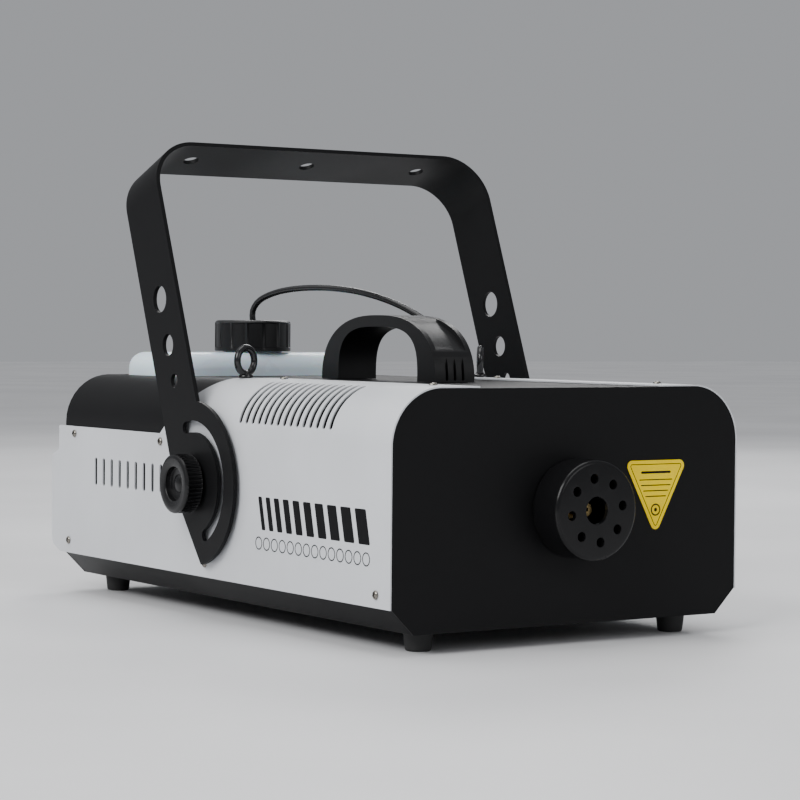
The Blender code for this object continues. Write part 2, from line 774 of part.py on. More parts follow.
def pump():
    """The oscillating pump: a coil body with its inlet, the plunger inside, its bracket and its outlet tube."""
    bore, wall, cheek = 6 * MM, 17 * MM, 2.6 * MM
    profile = [
        (cheek, 0),
        (9 * MM, 0),
        (9 * MM, 8 * MM),
        (wall, 8 * MM),
        (wall, PUMP_LENGTH - 8 * MM),
        (9 * MM, PUMP_LENGTH - 8 * MM),
        (9 * MM, PUMP_LENGTH),
        (cheek, PUMP_LENGTH),
        (cheek, PUMP_LENGTH - 8 * MM),
        (bore, PUMP_LENGTH - 8 * MM),
        (bore, 10 * MM),
        (cheek, 10 * MM),
    ]
    turned("pump_body", PUMP, "Y", list(reversed(profile)), "black_plastic", steps=20, ring=True)
    plunger = (PUMP.x, PUMP.y + 16 * MM, PUMP.z)
    rod("pump_plunger", plunger, "Y", bore - 1 * MM, 26 * MM, "bright_steel", sides=14)
    low = (PUMP.x - 16 * MM, PUMP.y + 12 * MM, SHEET + GAP)
    high = (PUMP.x + 16 * MM, PUMP.y + 44 * MM, PUMP.z - wall - GAP)
    box("pump_bracket", low, high, "rubber")
    inlet = HEATER_HIGH.y
    route = [
        (PUMP.x, PUMP.y + PUMP_LENGTH + GAP, PUMP.z),
        (PUMP.x, PUMP.y + PUMP_LENGTH + 10 * MM, PUMP.z),
        (PUMP.x - 14 * MM, PUMP.y + PUMP_LENGTH + 19 * MM, PUMP.z - 4 * MM),
        (40 * MM, PUMP.y + PUMP_LENGTH + 18 * MM, 36 * MM),
        (10 * MM, inlet + 44 * MM, 40 * MM),
        (0, inlet + 22 * MM, 58 * MM),
        (0, inlet + 10 * MM, 62 * MM),
        (0, inlet + GAP, 62 * MM),
    ]
    tube("pressure_pipe", smooth_route(route, 7 * MM), 1.6 * MM, "copper")


# ---------------------------------------------------------------- electronics and rear panel

BOARD_LOW = Vector((56 * MM, 326 * MM, 10 * MM))
BOARD_HIGH = Vector((132 * MM, 440 * MM, 11.6 * MM))


def electronics():
    """The mains and control board on its pillars, with its large components."""
    board = box("control_board", BOARD_LOW, BOARD_HIGH, "board_green")
    fittings = []
    for x in (BOARD_LOW.x + 6 * MM, BOARD_HIGH.x - 10 * MM):
        for station in (BOARD_LOW.y + 6 * MM, BOARD_HIGH.y - 6 * MM):
            base = (x, station, SHEET + GAP)
            fittings.append(rod("pillar", base, "Z", 3 * MM, BOARD_LOW.z - SHEET, sides=6))
    low = BOARD_HIGH.z - 0.5 * MM
    fittings.append(box("transformer", (62 * MM, 392 * MM, low), (98 * MM, 428 * MM, low + 34 * MM)))
    for i in range(3):
        x = (62 + i * 22) * MM
        fittings.append(box("relay", (x, 336 * MM, low), (x + 18 * MM, 352 * MM, low + 17 * MM)))
    for fitting in fittings:
        combine(board, fitting, "UNION")
    top = BOARD_HIGH.z + GAP
    fins = [
        box("fin", ((106 + i * 5) * MM, 362 * MM, top + 2 * MM), ((108 + i * 5) * MM, 424 * MM, top + 30 * MM))
        for i in range(5)
    ]
    plate = box("heat_sink", (105 * MM, 361 * MM, top), (129 * MM, 425 * MM, top + 4 * MM), "aluminium")
    for fin in fins:
        combine(plate, fin, "UNION")


REAR_FACE = BODY_LENGTH
INLET_CENTRE = (-96 * MM, 34 * MM)
FUSE_CENTRE = (-54 * MM, 34 * MM)
ROCKER_CENTRE = (-14 * MM, 34 * MM)
XLR_CENTRES = {"dmx_in": (36 * MM, 34 * MM), "dmx_out": (78 * MM, 34 * MM)}
BEZEL_CENTRE = (62 * MM, 92 * MM)
BEZEL_HALF = (52 * MM, 24 * MM)
BUTTON_NAMES = ("menu", "down", "up", "enter")
BUTTON_RADIUS = 4.2 * MM
BUTTON_ROW = -13 * MM
BUTTON_PITCH = 21 * MM
DISPLAY_LOW = (-26 * MM, 1 * MM)
DISPLAY_HIGH = (26 * MM, 18 * MM)


def window(centre, half_width, half_height):
    """A rectangular loop round a centre, as (x, height)."""
    x, height = centre
    return [
        (x - half_width, height - half_height),
        (x + half_width, height - half_height),
        (x + half_width, height + half_height),
        (x - half_width, height + half_height),
    ]


def rear_panel():
    holes = [
        window(INLET_CENTRE, 14 * MM, 10.5 * MM),
        circle(FUSE_CENTRE, 6.6 * MM, 16),
        window(ROCKER_CENTRE, 9.6 * MM, 12.6 * MM),
        window(BEZEL_CENTRE, BEZEL_HALF[0] - 4 * MM, BEZEL_HALF[1] - 4 * MM),
        *[circle(centre, 12 * MM, 20) for centre in XLR_CENTRES.values()],
    ]
    matrix = facing_front(0, BODY_LENGTH - PANEL_SHEET / 2, 0)
    return outline_plate("rear_panel", [panel_outline(), *holes], PANEL_SHEET, matrix, "black_paint")


def rear_block(name, centre, half, depth_in, proud, material="black_plastic"):
    """A box through the rear panel, from depth_in inside it to proud outside."""
    low = (centre[0] - half[0], REAR_FACE - depth_in, centre[1] - half[1])
    return box(name, low, (centre[0] + half[0], REAR_FACE + proud, centre[1] + half[1]), material)


def power_inlet():
    """A mains appliance inlet: flange outside, body through the panel, a recess with three pins."""
    part = rear_block("power_inlet", INLET_CENTRE, (13.7 * MM, 10.2 * MM), 24 * MM, 1 * MM)
    low = (INLET_CENTRE[0] - 18 * MM, REAR_FACE + GAP, INLET_CENTRE[1] - 13 * MM)
    flange = box("inlet_flange", low, (INLET_CENTRE[0] + 18 * MM, REAR_FACE + 3 * MM, INLET_CENTRE[1] + 13 * MM))
    combine(part, flange, "UNION")
    low = (INLET_CENTRE[0] - 11.5 * MM, REAR_FACE - 16 * MM, INLET_CENTRE[1] - 8 * MM)
    recess = box("inlet_recess", low, (INLET_CENTRE[0] + 11.5 * MM, REAR_FACE + 9 * MM, INLET_CENTRE[1] + 8 * MM))
    cut(part, recess)
    pins = []
    for dx, dz in ((-7 * MM, -2.5 * MM), (0, 2.5 * MM), (7 * MM, -2.5 * MM)):
        x, height = INLET_CENTRE[0] + dx, INLET_CENTRE[1] + dz
        low = (x - 1 * MM, REAR_FACE - 18 * MM, height - 2 * MM)
        pins.append(box("inlet_pin", low, (x + 1 * MM, REAR_FACE - 4 * MM, height + 2 * MM)))
    for pin in pins:
        combine(part, pin, "UNION")
    return part


def fuse_holder():
    profile = [
        (0, 9 * MM),
        (5.2 * MM, 9 * MM),
        (6 * MM, 8 * MM),
        (6 * MM, 2.5 * MM),
        (9 * MM, 2 * MM),
        (9 * MM, GAP),
        (6.2 * MM, GAP),
        (6.2 * MM, -26 * MM),
        (0, -26 * MM),
    ]
    base = (FUSE_CENTRE[0], REAR_FACE, FUSE_CENTRE[1])
    return turned("fuse_holder", base, "Y", profile, "black_plastic", steps=18)


ROCKER_AXIS_STATION = REAR_FACE - 3 * MM


def power_switch():
    """A frame with a rocker that turns on a cross axis just inside the panel."""
    frame = rear_block("rocker_frame", ROCKER_CENTRE, (9.3 * MM, 12.3 * MM), 18 * MM, 1 * MM)
    low = (ROCKER_CENTRE[0] - 11.5 * MM, REAR_FACE + GAP, ROCKER_CENTRE[1] - 14.8 * MM)
    high = (ROCKER_CENTRE[0] + 11.5 * MM, REAR_FACE + 1.8 * MM, ROCKER_CENTRE[1] + 14.8 * MM)
    combine(frame, box("rocker_flange", low, high), "UNION")
    low = (ROCKER_CENTRE[0] - 7.4 * MM, REAR_FACE - 11 * MM, ROCKER_CENTRE[1] - 10.6 * MM)
    high = (ROCKER_CENTRE[0] + 7.4 * MM, REAR_FACE + 9 * MM, ROCKER_CENTRE[1] + 10.6 * MM)
    cut(frame, box("rocker_opening", low, high))
    face = REAR_FACE + 3 * MM - ROCKER_AXIS_STATION
    outline = [(-4.5 * MM, -6 * MM), (1 * MM, -9.2 * MM), (face - 2.4 * MM, -9.2 * MM), (face - 2.2 * MM, 0)]
    outline += [(face + 0.8 * MM, 8.4 * MM), (1 * MM, 9.2 * MM), (-4.5 * MM, 6 * MM)]
    matrix = facing_side(ROCKER_CENTRE[0], ROCKER_AXIS_STATION, ROCKER_CENTRE[1])
    return outline_plate("power_rocker", [outline], 13.6 * MM, matrix, "red_plastic")


def xlr_sockets():
    for name, (x, height) in XLR_CENTRES.items():
        profile = [
            (10.5 * MM, 1 * MM),
            (11.7 * MM, 1 * MM),
            (11.7 * MM, -18 * MM),
            (0, -18 * MM),
            (0, -12 * MM),
            (10.5 * MM, -12 * MM),
            (10.5 * MM, 1 * MM),
        ]
        socket = turned(f"{name}_socket", (x, REAR_FACE, height), "Y", profile, "black_plastic", steps=20)
        low = (x - 13 * MM, REAR_FACE + GAP, height - 15.5 * MM)
        flange = box(name + "_flange", low, (x + 13 * MM, REAR_FACE + 2 * MM, height + 15.5 * MM))
        cut(flange, rod(name + "_flange_hole", (x, REAR_FACE - 5 * MM, height), "Y", 9.5 * MM, 12 * MM, sides=20))
        combine(socket, flange, "UNION")
        for angle in (90, 210, 330):
            turn = math.radians(angle)
            base = (x + 4 * MM * math.cos(turn), REAR_FACE - 14 * MM, height + 4 * MM * math.sin(turn))
            combine(socket, rod(name + "_pin", base, "Y", 1.1 * MM, 10 * MM, sides=8), "UNION")


def control_panel():
    """The bezel in the rear panel, its display window and its four push buttons."""
    x, height = BEZEL_CENTRE
    outline = rounded_rectangle((x - BEZEL_HALF[0], height - BEZEL_HALF[1]), (x + BEZEL_HALF[0], height + BEZEL_HALF[1]), 4 * MM)
    display = window((x, height + (DISPLAY_LOW[1] + DISPLAY_HIGH[1]) / 2), 26 * MM, 8.5 * MM)
    places = [(x + BUTTON_PITCH * (i - 1.5), height + BUTTON_ROW) for i in range(4)]
    loops = [outline, display, *[circle(place, BUTTON_RADIUS + 0.5 * MM, 18) for place in places]]
    thick = 2.4 * MM
    matrix = facing_front(0, REAR_FACE + GAP + thick / 2, 0)
    outline_plate("control_bezel", loops, thick, matrix, "black_plastic")
    low = (x + DISPLAY_LOW[0] + GAP, REAR_FACE - 1 * MM, height + DISPLAY_LOW[1] + GAP)
    high = (x + DISPLAY_HIGH[0] - GAP, REAR_FACE + 1.8 * MM, height + DISPLAY_HIGH[1] - GAP)
    box("display_window", low, high, "display_glass")
    for name, (place_x, place_height) in zip(BUTTON_NAMES, places):
        profile = [
            (0, 4.6 * MM),
            (BUTTON_RADIUS - 0.7 * MM, 4.6 * MM),
            (BUTTON_RADIUS, 4 * MM),
            (BUTTON_RADIUS, -2 * MM),
            (2 * MM, -2 * MM),
            (2 * MM, -5.8 * MM),
            (0, -5.8 * MM),
        ]
        turned(f"{name}_button", (place_x, REAR_FACE, place_height), "Y", profile, "rubber", steps=18)


# ---------------------------------------------------------------- yoke and knobs


def leg_outline():
    """One leg with its fan plate, seen from the side. u runs rearwards and v up the leg from the pivot."""
    half = YOKE_WIDTH / 2
    top = YOKE_REACH - YOKE_BEND_RADIUS
    join_height = math.sqrt(PLATE_RADIUS**2 - half**2)
    start = math.degrees(math.atan2(join_height, -half))
    tip = 278
    tangent = 280 + math.degrees(math.acos(half / PLATE_RADIUS))
    outline = [(half, top), (-half, top)]
    outline += arc((0, 0), PLATE_RADIUS, start, tip, 20)
    return outline + arc((0, 0), half, tangent, 360, 4)


def arc_slot():
    """The curved slot on the front side of the pivot, as a closed loop."""
    start, end = 96, 264
    inner, outer = SLOT_RADIUS - SLOT_WIDTH / 2, SLOT_RADIUS + SLOT_WIDTH / 2
    loop = arc((0, 0), outer, start, end, 18)
    for angle, turn in ((end, 0), (start, 180)):
        radians = math.radians(angle)
        centre = (SLOT_RADIUS * math.cos(radians), SLOT_RADIUS * math.sin(radians))
        cap = arc(centre, SLOT_WIDTH / 2, angle + turn, angle + turn + 180, 6)[1:-1]
        loop += cap
        if turn == 0:
            loop += arc((0, 0), inner, end, start, 18)
    return loop


LEG_HOLES = [(142.7 * MM, 10 * MM), (106.6 * MM, 8 * MM), (78.8 * MM, 5 * MM)]
BAR_HOLES = (-103 * MM, 0, 103 * MM)


def yoke_matrix():
    """Places the yoke's own frame: origin on the pivot axis, its local Z along the legs."""
    return Matrix.Translation(at(0, PIVOT_STATION, PIVOT_HEIGHT)) @ Matrix.Rotation(-YOKE_LEAN, 4, "X")


def yoke():
    """A strip bent into a U: two legs with fan plates and slots, rounded corners and a holed bar."""
    frame = yoke_matrix()
    loops = [leg_outline(), arc_slot(), circle((0, 0), 5 * MM, 18)]
    loops += [circle((0, distance), radius, 18) for distance, radius in LEG_HOLES]
    turn = Matrix(((0, 0, 1), (1, 0, 0), (0, 1, 0))).to_4x4()
    legs = []
    for side in (-1, 1):
        x = side * (YOKE_INNER_X + YOKE_SHEET / 2)
        matrix = frame @ Matrix.Translation((x, 0, 0)) @ turn
        legs.append(outline_plate("leg", loops, YOKE_SHEET, matrix, "black_paint"))
    bow = yoke_bow(frame)
    part = legs[0]
    part.name = "yoke"
    combine(part, legs[1], "UNION")
    return combine(part, bow, "UNION")


def yoke_bow(frame):
    """The top of the U: its two bends and the bar with three holes, lapping 2 mm onto the legs."""
    outer_x = YOKE_INNER_X + YOKE_SHEET
    radius = YOKE_BEND_RADIUS
    centre_z = YOKE_REACH - radius
    low = centre_z - 2 * MM
    outer = [(outer_x, low), *arc((outer_x - radius, centre_z), radius, 0, 90, 8)]
    outer += [*arc((-outer_x + radius, centre_z), radius, 90, 180, 8), (-outer_x, low)]
    inner_radius = radius - YOKE_SHEET
    inner = [(-YOKE_INNER_X, low), *arc((-outer_x + radius, centre_z), inner_radius, 180, 90, 8)]
    inner += [*arc((outer_x - radius, centre_z), inner_radius, 90, 0, 8), (YOKE_INNER_X, low)]
    matrix = frame @ Matrix.Rotation(math.pi / 2, 4, "X")
    bow = outline_plate("bow", [outer + inner], YOKE_WIDTH, matrix, "black_paint")
    for x in BAR_HOLES:
        cutter = rod("bar_hole_cutter", (0, 0, 0), "Z", 6 * MM, 20 * MM, sides=16)
        cutter.matrix_world = frame @ Matrix.Translation((x, 0, YOKE_REACH - 10 * MM))
        cut(bow, cutter)
    return bow


KNOB_RADIUS = 21.3 * MM
KNOB_LENGTH = 16.5 * MM


def pivot_parts():
    """Each side's clamp: a friction washer, the knob, its stud and the nut inside the body."""
    pivot = (PIVOT_STATION, PIVOT_HEIGHT)
    outside = YOKE_INNER_X + YOKE_SHEET
    clearance = YOKE_INNER_X - HALF
    ring = [(5.6 * MM, clearance - GAP), (13 * MM, clearance - GAP), (13 * MM, GAP), (5.6 * MM, GAP)]
    seat = KNOB_LENGTH - 5 * MM
    knob = [
        (4.4 * MM, seat),
        (9 * MM, seat),
        (12.5 * MM, KNOB_LENGTH - 1.5 * MM),
        (17 * MM, KNOB_LENGTH),
        (20.3 * MM, KNOB_LENGTH),
        (KNOB_RADIUS, KNOB_LENGTH - 1.2 * MM),
        (KNOB_RADIUS, 3 * MM),
        (19 * MM, 2.2 * MM),
        (11 * MM, 2.2 * MM),
        (11 * MM, GAP),
        (4.4 * MM, GAP),
    ]
    start = 135 * MM
    reach = outside + seat + GAP - start
    crown = reach + 1.6 * MM
    stud = [(0, crown), (6.5 * MM, crown), (7.4 * MM, reach), (4 * MM, reach), (4 * MM, 0), (0, 0)]
    nut = [(5 * MM, 8 * MM), (9 * MM, 8 * MM), (9 * MM, 0), (5 * MM, 0)]
    for side, axis, name in ((-1, "-X", "left"), (1, "X", "right")):
        washer = (side * HALF, *pivot)
        turned(f"friction_washer_{name}", washer, axis, ring, "rubber", steps=24, ring=True)
        turned(f"knob_{name}", (side * outside, *pivot), axis, knob, "black_plastic", steps=32, ring=True)
        turned(f"knob_stud_{name}", (side * start, *pivot), axis, stud, "bright_steel", steps=16)
        inner = (side * (INNER_HALF - SHEET - GAP - 8 * MM), *pivot)
        turned(f"pivot_nut_{name}", inner, axis, nut, "bright_steel", steps=6, ring=True)


# ---------------------------------------------------------------- label

LABEL_TOP = 108.5 * MM
LABEL_CENTRE = 71.8 * MM
LABEL_HALF = 27.5 * MM
LABEL_DROP = 52 * MM


def warning_label():
    """A yellow film triangle, point down, with rounded corners."""
    radius = 4 * MM
    slant = math.degrees(math.atan2(LABEL_HALF, LABEL_DROP))
    inset = radius / math.tan(math.radians((90 - slant) / 2))
    left = (LABEL_CENTRE - LABEL_HALF + inset, LABEL_TOP - radius)
    right = (LABEL_CENTRE + LABEL_HALF - inset, LABEL_TOP - radius)
    bottom = (LABEL_CENTRE, LABEL_TOP - LABEL_DROP + radius / math.sin(math.radians(slant)))
    outline = arc(right, radius, 90, -slant, 5)
    outline += arc(bottom, radius, -slant, -180 + slant, 5)
    outline += arc(left, radius, 180 + slant, 90, 5)
    matrix = facing_front(0, -GAP - 0.2 * MM, 0)
    return outline_plate("warning_label", [outline], 0.4 * MM, matrix, "yellow_film")


def build():
    base_tray()
    front_panel()
    rear_panel()
    hood()
    for side, name in ((-1, "left"), (1, "right")):
        side_cover(f"side_cover_{name}", side)
        eye_bolt(f"eye_bolt_{name}", side)
    cover_screws()
    pivot_parts()
    feet()
    carry_handle()
    nozzle_cover()
    nozzle_tip()
    heater()
    tank()
    tank_well()
    tank_cap()
    hose_and_fittings()
    pump()
    electronics()
    power_inlet()
    fuse_holder()
    power_switch()
    xlr_sockets()
    control_panel()
    yoke()
    warning_label()


clear_scene()
PARTS = make_collection("fog_machine")
CUTTERS = make_collection("cutters")
build()
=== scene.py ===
"""Looks, camera and light for the fog machine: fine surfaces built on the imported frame."""

import json
import math

import bmesh
import bpy
from mathutils import Euler, Matrix, Vector


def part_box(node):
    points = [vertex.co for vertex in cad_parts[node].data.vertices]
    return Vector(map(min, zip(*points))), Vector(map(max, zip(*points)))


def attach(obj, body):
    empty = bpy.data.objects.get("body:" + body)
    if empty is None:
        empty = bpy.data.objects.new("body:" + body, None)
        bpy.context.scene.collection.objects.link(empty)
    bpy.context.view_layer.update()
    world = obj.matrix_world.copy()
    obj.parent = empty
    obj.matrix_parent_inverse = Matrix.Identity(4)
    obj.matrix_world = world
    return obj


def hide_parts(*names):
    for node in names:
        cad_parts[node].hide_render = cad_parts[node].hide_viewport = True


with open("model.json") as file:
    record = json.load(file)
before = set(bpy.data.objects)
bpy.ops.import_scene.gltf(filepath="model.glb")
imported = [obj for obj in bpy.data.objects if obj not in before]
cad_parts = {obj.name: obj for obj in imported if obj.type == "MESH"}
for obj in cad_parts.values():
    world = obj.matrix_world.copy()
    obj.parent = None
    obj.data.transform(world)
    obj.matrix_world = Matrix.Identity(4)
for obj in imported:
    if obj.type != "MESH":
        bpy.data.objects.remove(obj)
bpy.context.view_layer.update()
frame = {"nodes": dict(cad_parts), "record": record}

MM = 0.001
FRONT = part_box("front_panel")[0].y
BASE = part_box("base_tray")[0].z
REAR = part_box("rear_panel")[1].y - FRONT
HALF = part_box("side_cover_right")[1].x
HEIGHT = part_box("side_cover_right")[1].z - BASE
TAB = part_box("side_cover_right")[1].y - FRONT
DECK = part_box("hood")[1].z - BASE
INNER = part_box("hood")[1].x
SHEET = 1.2 * MM
COVER_SHEET = 1 * MM
CHAMFER = 17 * MM
SHOULDER = 39 * MM
GAP = 0.3 * MM
THROUGH = 0.02  # thickness of a cutter that goes right through a sheet
SCREW_HOLE = 2.2 * MM
PIVOT_HOLE = 5.5 * MM
JOINTS = {joint["name"]: joint for joint in frame["record"]["behaviour"]["joints"]}
PIVOT = Vector(JOINTS["yoke_tilt"]["pos_m"])
LEAN = math.radians(21.3)


def at(x, station, height):
    """World point from x, distance behind the front plane and height above the body's underside."""
    return Vector((x, FRONT + station, BASE + height))


# ---------------------------------------------------------------- materials


def material(name, colour, roughness, metallic=0.0, grain=None, mottle=None, **sockets):
    """A procedural material. grain is (scale, bump strength, bump distance), mottle (scale, spread) of
    roughness and tone."""
    made = bpy.data.materials.new(name)
    made.use_nodes = True
    nodes, links = made.node_tree.nodes, made.node_tree.links
    shader = nodes["Principled BSDF"]
    shader.inputs["Base Color"].default_value = (*colour, 1)
    shader.inputs["Roughness"].default_value = roughness
    shader.inputs["Metallic"].default_value = metallic
    for socket, value in sockets.items():
        shader.inputs[socket.replace("_", " ")].default_value = value
    place = nodes.new("ShaderNodeTexCoord")
    if grain:
        scale, strength, distance = grain
        noise = nodes.new("ShaderNodeTexNoise")
        noise.inputs["Scale"].default_value = scale
        noise.inputs["Detail"].default_value = 3
        bump = nodes.new("ShaderNodeBump")
        bump.inputs["Strength"].default_value = strength
        bump.inputs["Distance"].default_value = distance
        links.new(place.outputs["Object"], noise.inputs["Vector"])
        links.new(noise.outputs["Fac"], bump.inputs["Height"])
        links.new(bump.outputs["Normal"], shader.inputs["Normal"])
    if mottle:
        scale, spread = mottle
        noise = nodes.new("ShaderNodeTexNoise")
        noise.inputs["Scale"].default_value = scale
        noise.inputs["Detail"].default_value = 5
        links.new(place.outputs["Object"], noise.inputs["Vector"])
        band = nodes.new("ShaderNodeMapRange")
        band.inputs["From Min"].default_value = 0.42
        band.inputs["From Max"].default_value = 0.7
        band.inputs["To Min"].default_value = max(roughness - spread, 0.02)
        band.inputs["To Max"].default_value = min(roughness + spread, 1)
        links.new(noise.outputs["Fac"], band.inputs["Value"])
        links.new(band.outputs["Result"], shader.inputs["Roughness"])
        tone = nodes.new("ShaderNodeValToRGB")
        tone.color_ramp.elements[0].position = 0.35
        tone.color_ramp.elements[1].position = 0.65
        tone.color_ramp.elements[0].color = (*[c * 0.94 for c in colour], 1)
        tone.color_ramp.elements[1].color = (*[min(c * 1.05, 1) for c in colour], 1)
        links.new(noise.outputs["Fac"], tone.inputs["Fac"])
        links.new(tone.outputs["Color"], shader.inputs["Base Color"])
    return made


WHITE = material("white_coat", (0.62, 0.635, 0.66), 0.38, grain=(2600, 0.12, 0.0002), mottle=(7, 0.05))
BLACK = material(
    "black_coat",
    (0.006, 0.006, 0.0065),
    0.52,
    grain=(2200, 0.2, 0.0003),
    mottle=(6, 0.05),
    Specular_IOR_Level=0.12,
)
SATIN = material(
    "satin_coat",
    (0.006, 0.006, 0.0065),
    0.24,
    grain=(1200, 0.06, 0.0002),
    mottle=(12, 0.04),
    Specular_IOR_Level=0.22,
)
DARK = material(
    "black_plastic",
    (0.007, 0.007, 0.0075),
    0.36,
    grain=(1500, 0.15, 0.0003),
    mottle=(20, 0.05),
    Specular_IOR_Level=0.3,
)
KNOB = material(
    "knob_plastic",
    (0.006, 0.006, 0.0065),
    0.28,
    grain=(900, 0.06, 0.0002),
    mottle=(30, 0.04),
    Specular_IOR_Level=0.3,
)
GLOSS = material("gloss_black", (0.008, 0.008, 0.009), 0.2, grain=(300, 0.05, 0.0002), mottle=(30, 0.05))
HOSE = material("hose_black", (0.01, 0.01, 0.011), 0.28, grain=(600, 0.05, 0.0002), mottle=(40, 0.05))
RUBBER = material("rubber", (0.018, 0.018, 0.018), 0.75, grain=(1800, 0.25, 0.0003), mottle=(30, 0.08))
HDPE = material(
    "milky_plastic",
    (0.8, 0.87, 1.0),
    0.32,
    grain=(160, 0.12, 0.0006),
    mottle=(12, 0.06),
    Subsurface_Weight=0.35,
    Subsurface_Scale=0.01,
)
STEEL = material("plated_steel", (0.62, 0.6, 0.56), 0.28, 1.0, grain=(900, 0.08, 0.0002), mottle=(60, 0.08))
SCREW = material("screw_steel", (0.24, 0.225, 0.2), 0.2, 1.0, grain=(900, 0.08, 0.0002), mottle=(60, 0.08))
ALLOY = material("aluminium", (0.56, 0.56, 0.57), 0.42, 1.0, grain=(700, 0.12, 0.0002), mottle=(30, 0.08))
BRASS = material("brass", (0.62, 0.46, 0.2), 0.3, 1.0, grain=(900, 0.08, 0.0002), mottle=(40, 0.08))
COPPER = material("copper", (0.7, 0.36, 0.22), 0.3, 1.0, grain=(900, 0.06, 0.0002), mottle=(40, 0.08))
BOARD = material("solder_mask", (0.018, 0.15, 0.055), 0.4, grain=(500, 0.1, 0.0002), mottle=(80, 0.08))
YELLOW = material(
    "yellow_film",
    (1.0, 0.7, 0.0),
    0.5,
    grain=(900, 0.03, 0.0001),
    mottle=(40, 0.04),
    Specular_IOR_Level=0.12,
)
INK = material(
    "dark_ink",
    (0.005, 0.005, 0.006),
    0.6,
    grain=(900, 0.03, 0.0001),
    mottle=(40, 0.05),
    Specular_IOR_Level=0.1,
)
GLASS = material("display_glass", (0.01, 0.03, 0.035), 0.08, grain=(200, 0.01, 0.0001), mottle=(30, 0.03))
RED = material("red_plastic", (0.45, 0.012, 0.012), 0.22, grain=(400, 0.04, 0.0002), mottle=(30, 0.04))


# ---------------------------------------------------------------- mesh helpers


def finish_mesh(obj, paint, body, nodes=(), sharp=35):
    """Paints and shades a piece, and hangs it on its body in place of those nodes."""
    obj.data.materials.clear()
    obj.data.materials.append(paint)
    obj.data.shade_smooth()
    obj.data.set_sharp_from_angle(angle=math.radians(sharp))
    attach(obj, body)
    if nodes:
        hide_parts(*nodes)
    return obj


def new_object(name, mesh, matrix=None):
    obj = bpy.data.objects.new(name, mesh)
    bpy.context.scene.collection.objects.link(obj)
    if matrix is not None:
        obj.matrix_world = matrix
    return obj


def from_bmesh(name, shape, matrix=None):
    mesh = bpy.data.meshes.new(name)
    shape.to_mesh(mesh)
    shape.free()
    return new_object(name, mesh, matrix)


def baked(name, obj):
    """A new object with obj's modifiers and place applied; obj is removed."""
    bpy.context.view_layer.update()
    graph = bpy.context.evaluated_depsgraph_get()
    mesh = bpy.data.meshes.new_from_object(obj.evaluated_get(graph))
    mesh.transform(obj.matrix_world)
    bpy.data.objects.remove(obj)
    shape = bmesh.new()
    shape.from_mesh(mesh)
    bmesh.ops.remove_doubles(shape, verts=shape.verts, dist=0.000005)
    bmesh.ops.recalc_face_normals(shape, faces=shape.faces)
    shape.to_mesh(mesh)
    shape.free()
    mesh.name = name
    return new_object(name, mesh)


def plate(name, loops, thickness, matrix):
    """A flat plate: a first loop of (u, v) for the edge, more for its holes."""
    curve = bpy.data.curves.new(name + "_line", "CURVE")
    curve.dimensions = "2D"
    curve.fill_mode = "BOTH"
    curve.extrude = thickness / 2
    for loop in loops:
        spline = curve.splines.new("POLY")
        spline.points.add(len(loop) - 1)
        for point, (u, v) in zip(spline.points, loop):
            point.co = (u, v, 0, 1)
        spline.use_cyclic_u = True
    return baked(name, new_object(name + "_line", curve, matrix))


def cut(obj, tools, operation="DIFFERENCE"):
    """obj after one Boolean per tool, in order. The tools are removed afterwards."""
    for tool in tools:
        modifier = obj.modifiers.new("cut", "BOOLEAN")
        modifier.operation = operation
        modifier.object = tool
        modifier.solver = "EXACT"
    name = obj.name
    obj.name = name + "_rough"
    result = baked(name, obj)
    for tool in tools:
        bpy.data.objects.remove(tool)
    return result


def joined(name, objects):
    """One mesh from several, which are removed."""
    shape = bmesh.new()
    for obj in objects:
        mesh = obj.data.copy()
        mesh.transform(obj.matrix_world)
        shape.from_mesh(mesh)
        bpy.data.meshes.remove(mesh)
        bpy.data.objects.remove(obj)
    return from_bmesh(name, shape)


def soften(obj, width, segments=2, angle=35):
    """Bevels the edges that turn by more than angle degrees."""
    modifier = obj.modifiers.new("edges", "BEVEL")
    modifier.width = width
    modifier.segments = segments
    modifier.limit_method = "ANGLE"
    modifier.angle_limit = math.radians(angle)
    modifier.harden_normals = True
    return obj


def block(name, low, high, radius=0.0, segments=3):
    """A box between two corners (x, station, height), with rounded edges."""
    low, high = at(*low), at(*high)
    shape = bmesh.new()
    bmesh.ops.create_cube(shape, size=1)
    bmesh.ops.scale(shape, vec=high - low, verts=shape.verts)
    if radius:
        bmesh.ops.bevel(
            shape, geom=shape.edges[:], offset=radius, segments=segments, profile=0.5, affect="EDGES"
        )
    bmesh.ops.translate(shape, vec=(low + high) / 2, verts=shape.verts)
    return from_bmesh(name, shape)


TURNS = {
    "X": Euler((0, math.pi / 2, 0)).to_matrix().to_4x4(),
    "-X": Euler((0, -math.pi / 2, 0)).to_matrix().to_4x4(),
    "Y": Euler((-math.pi / 2, 0, 0)).to_matrix().to_4x4(),
    "-Y": Euler((math.pi / 2, 0, 0)).to_matrix().to_4x4(),
    "Z": Matrix.Identity(4),
}


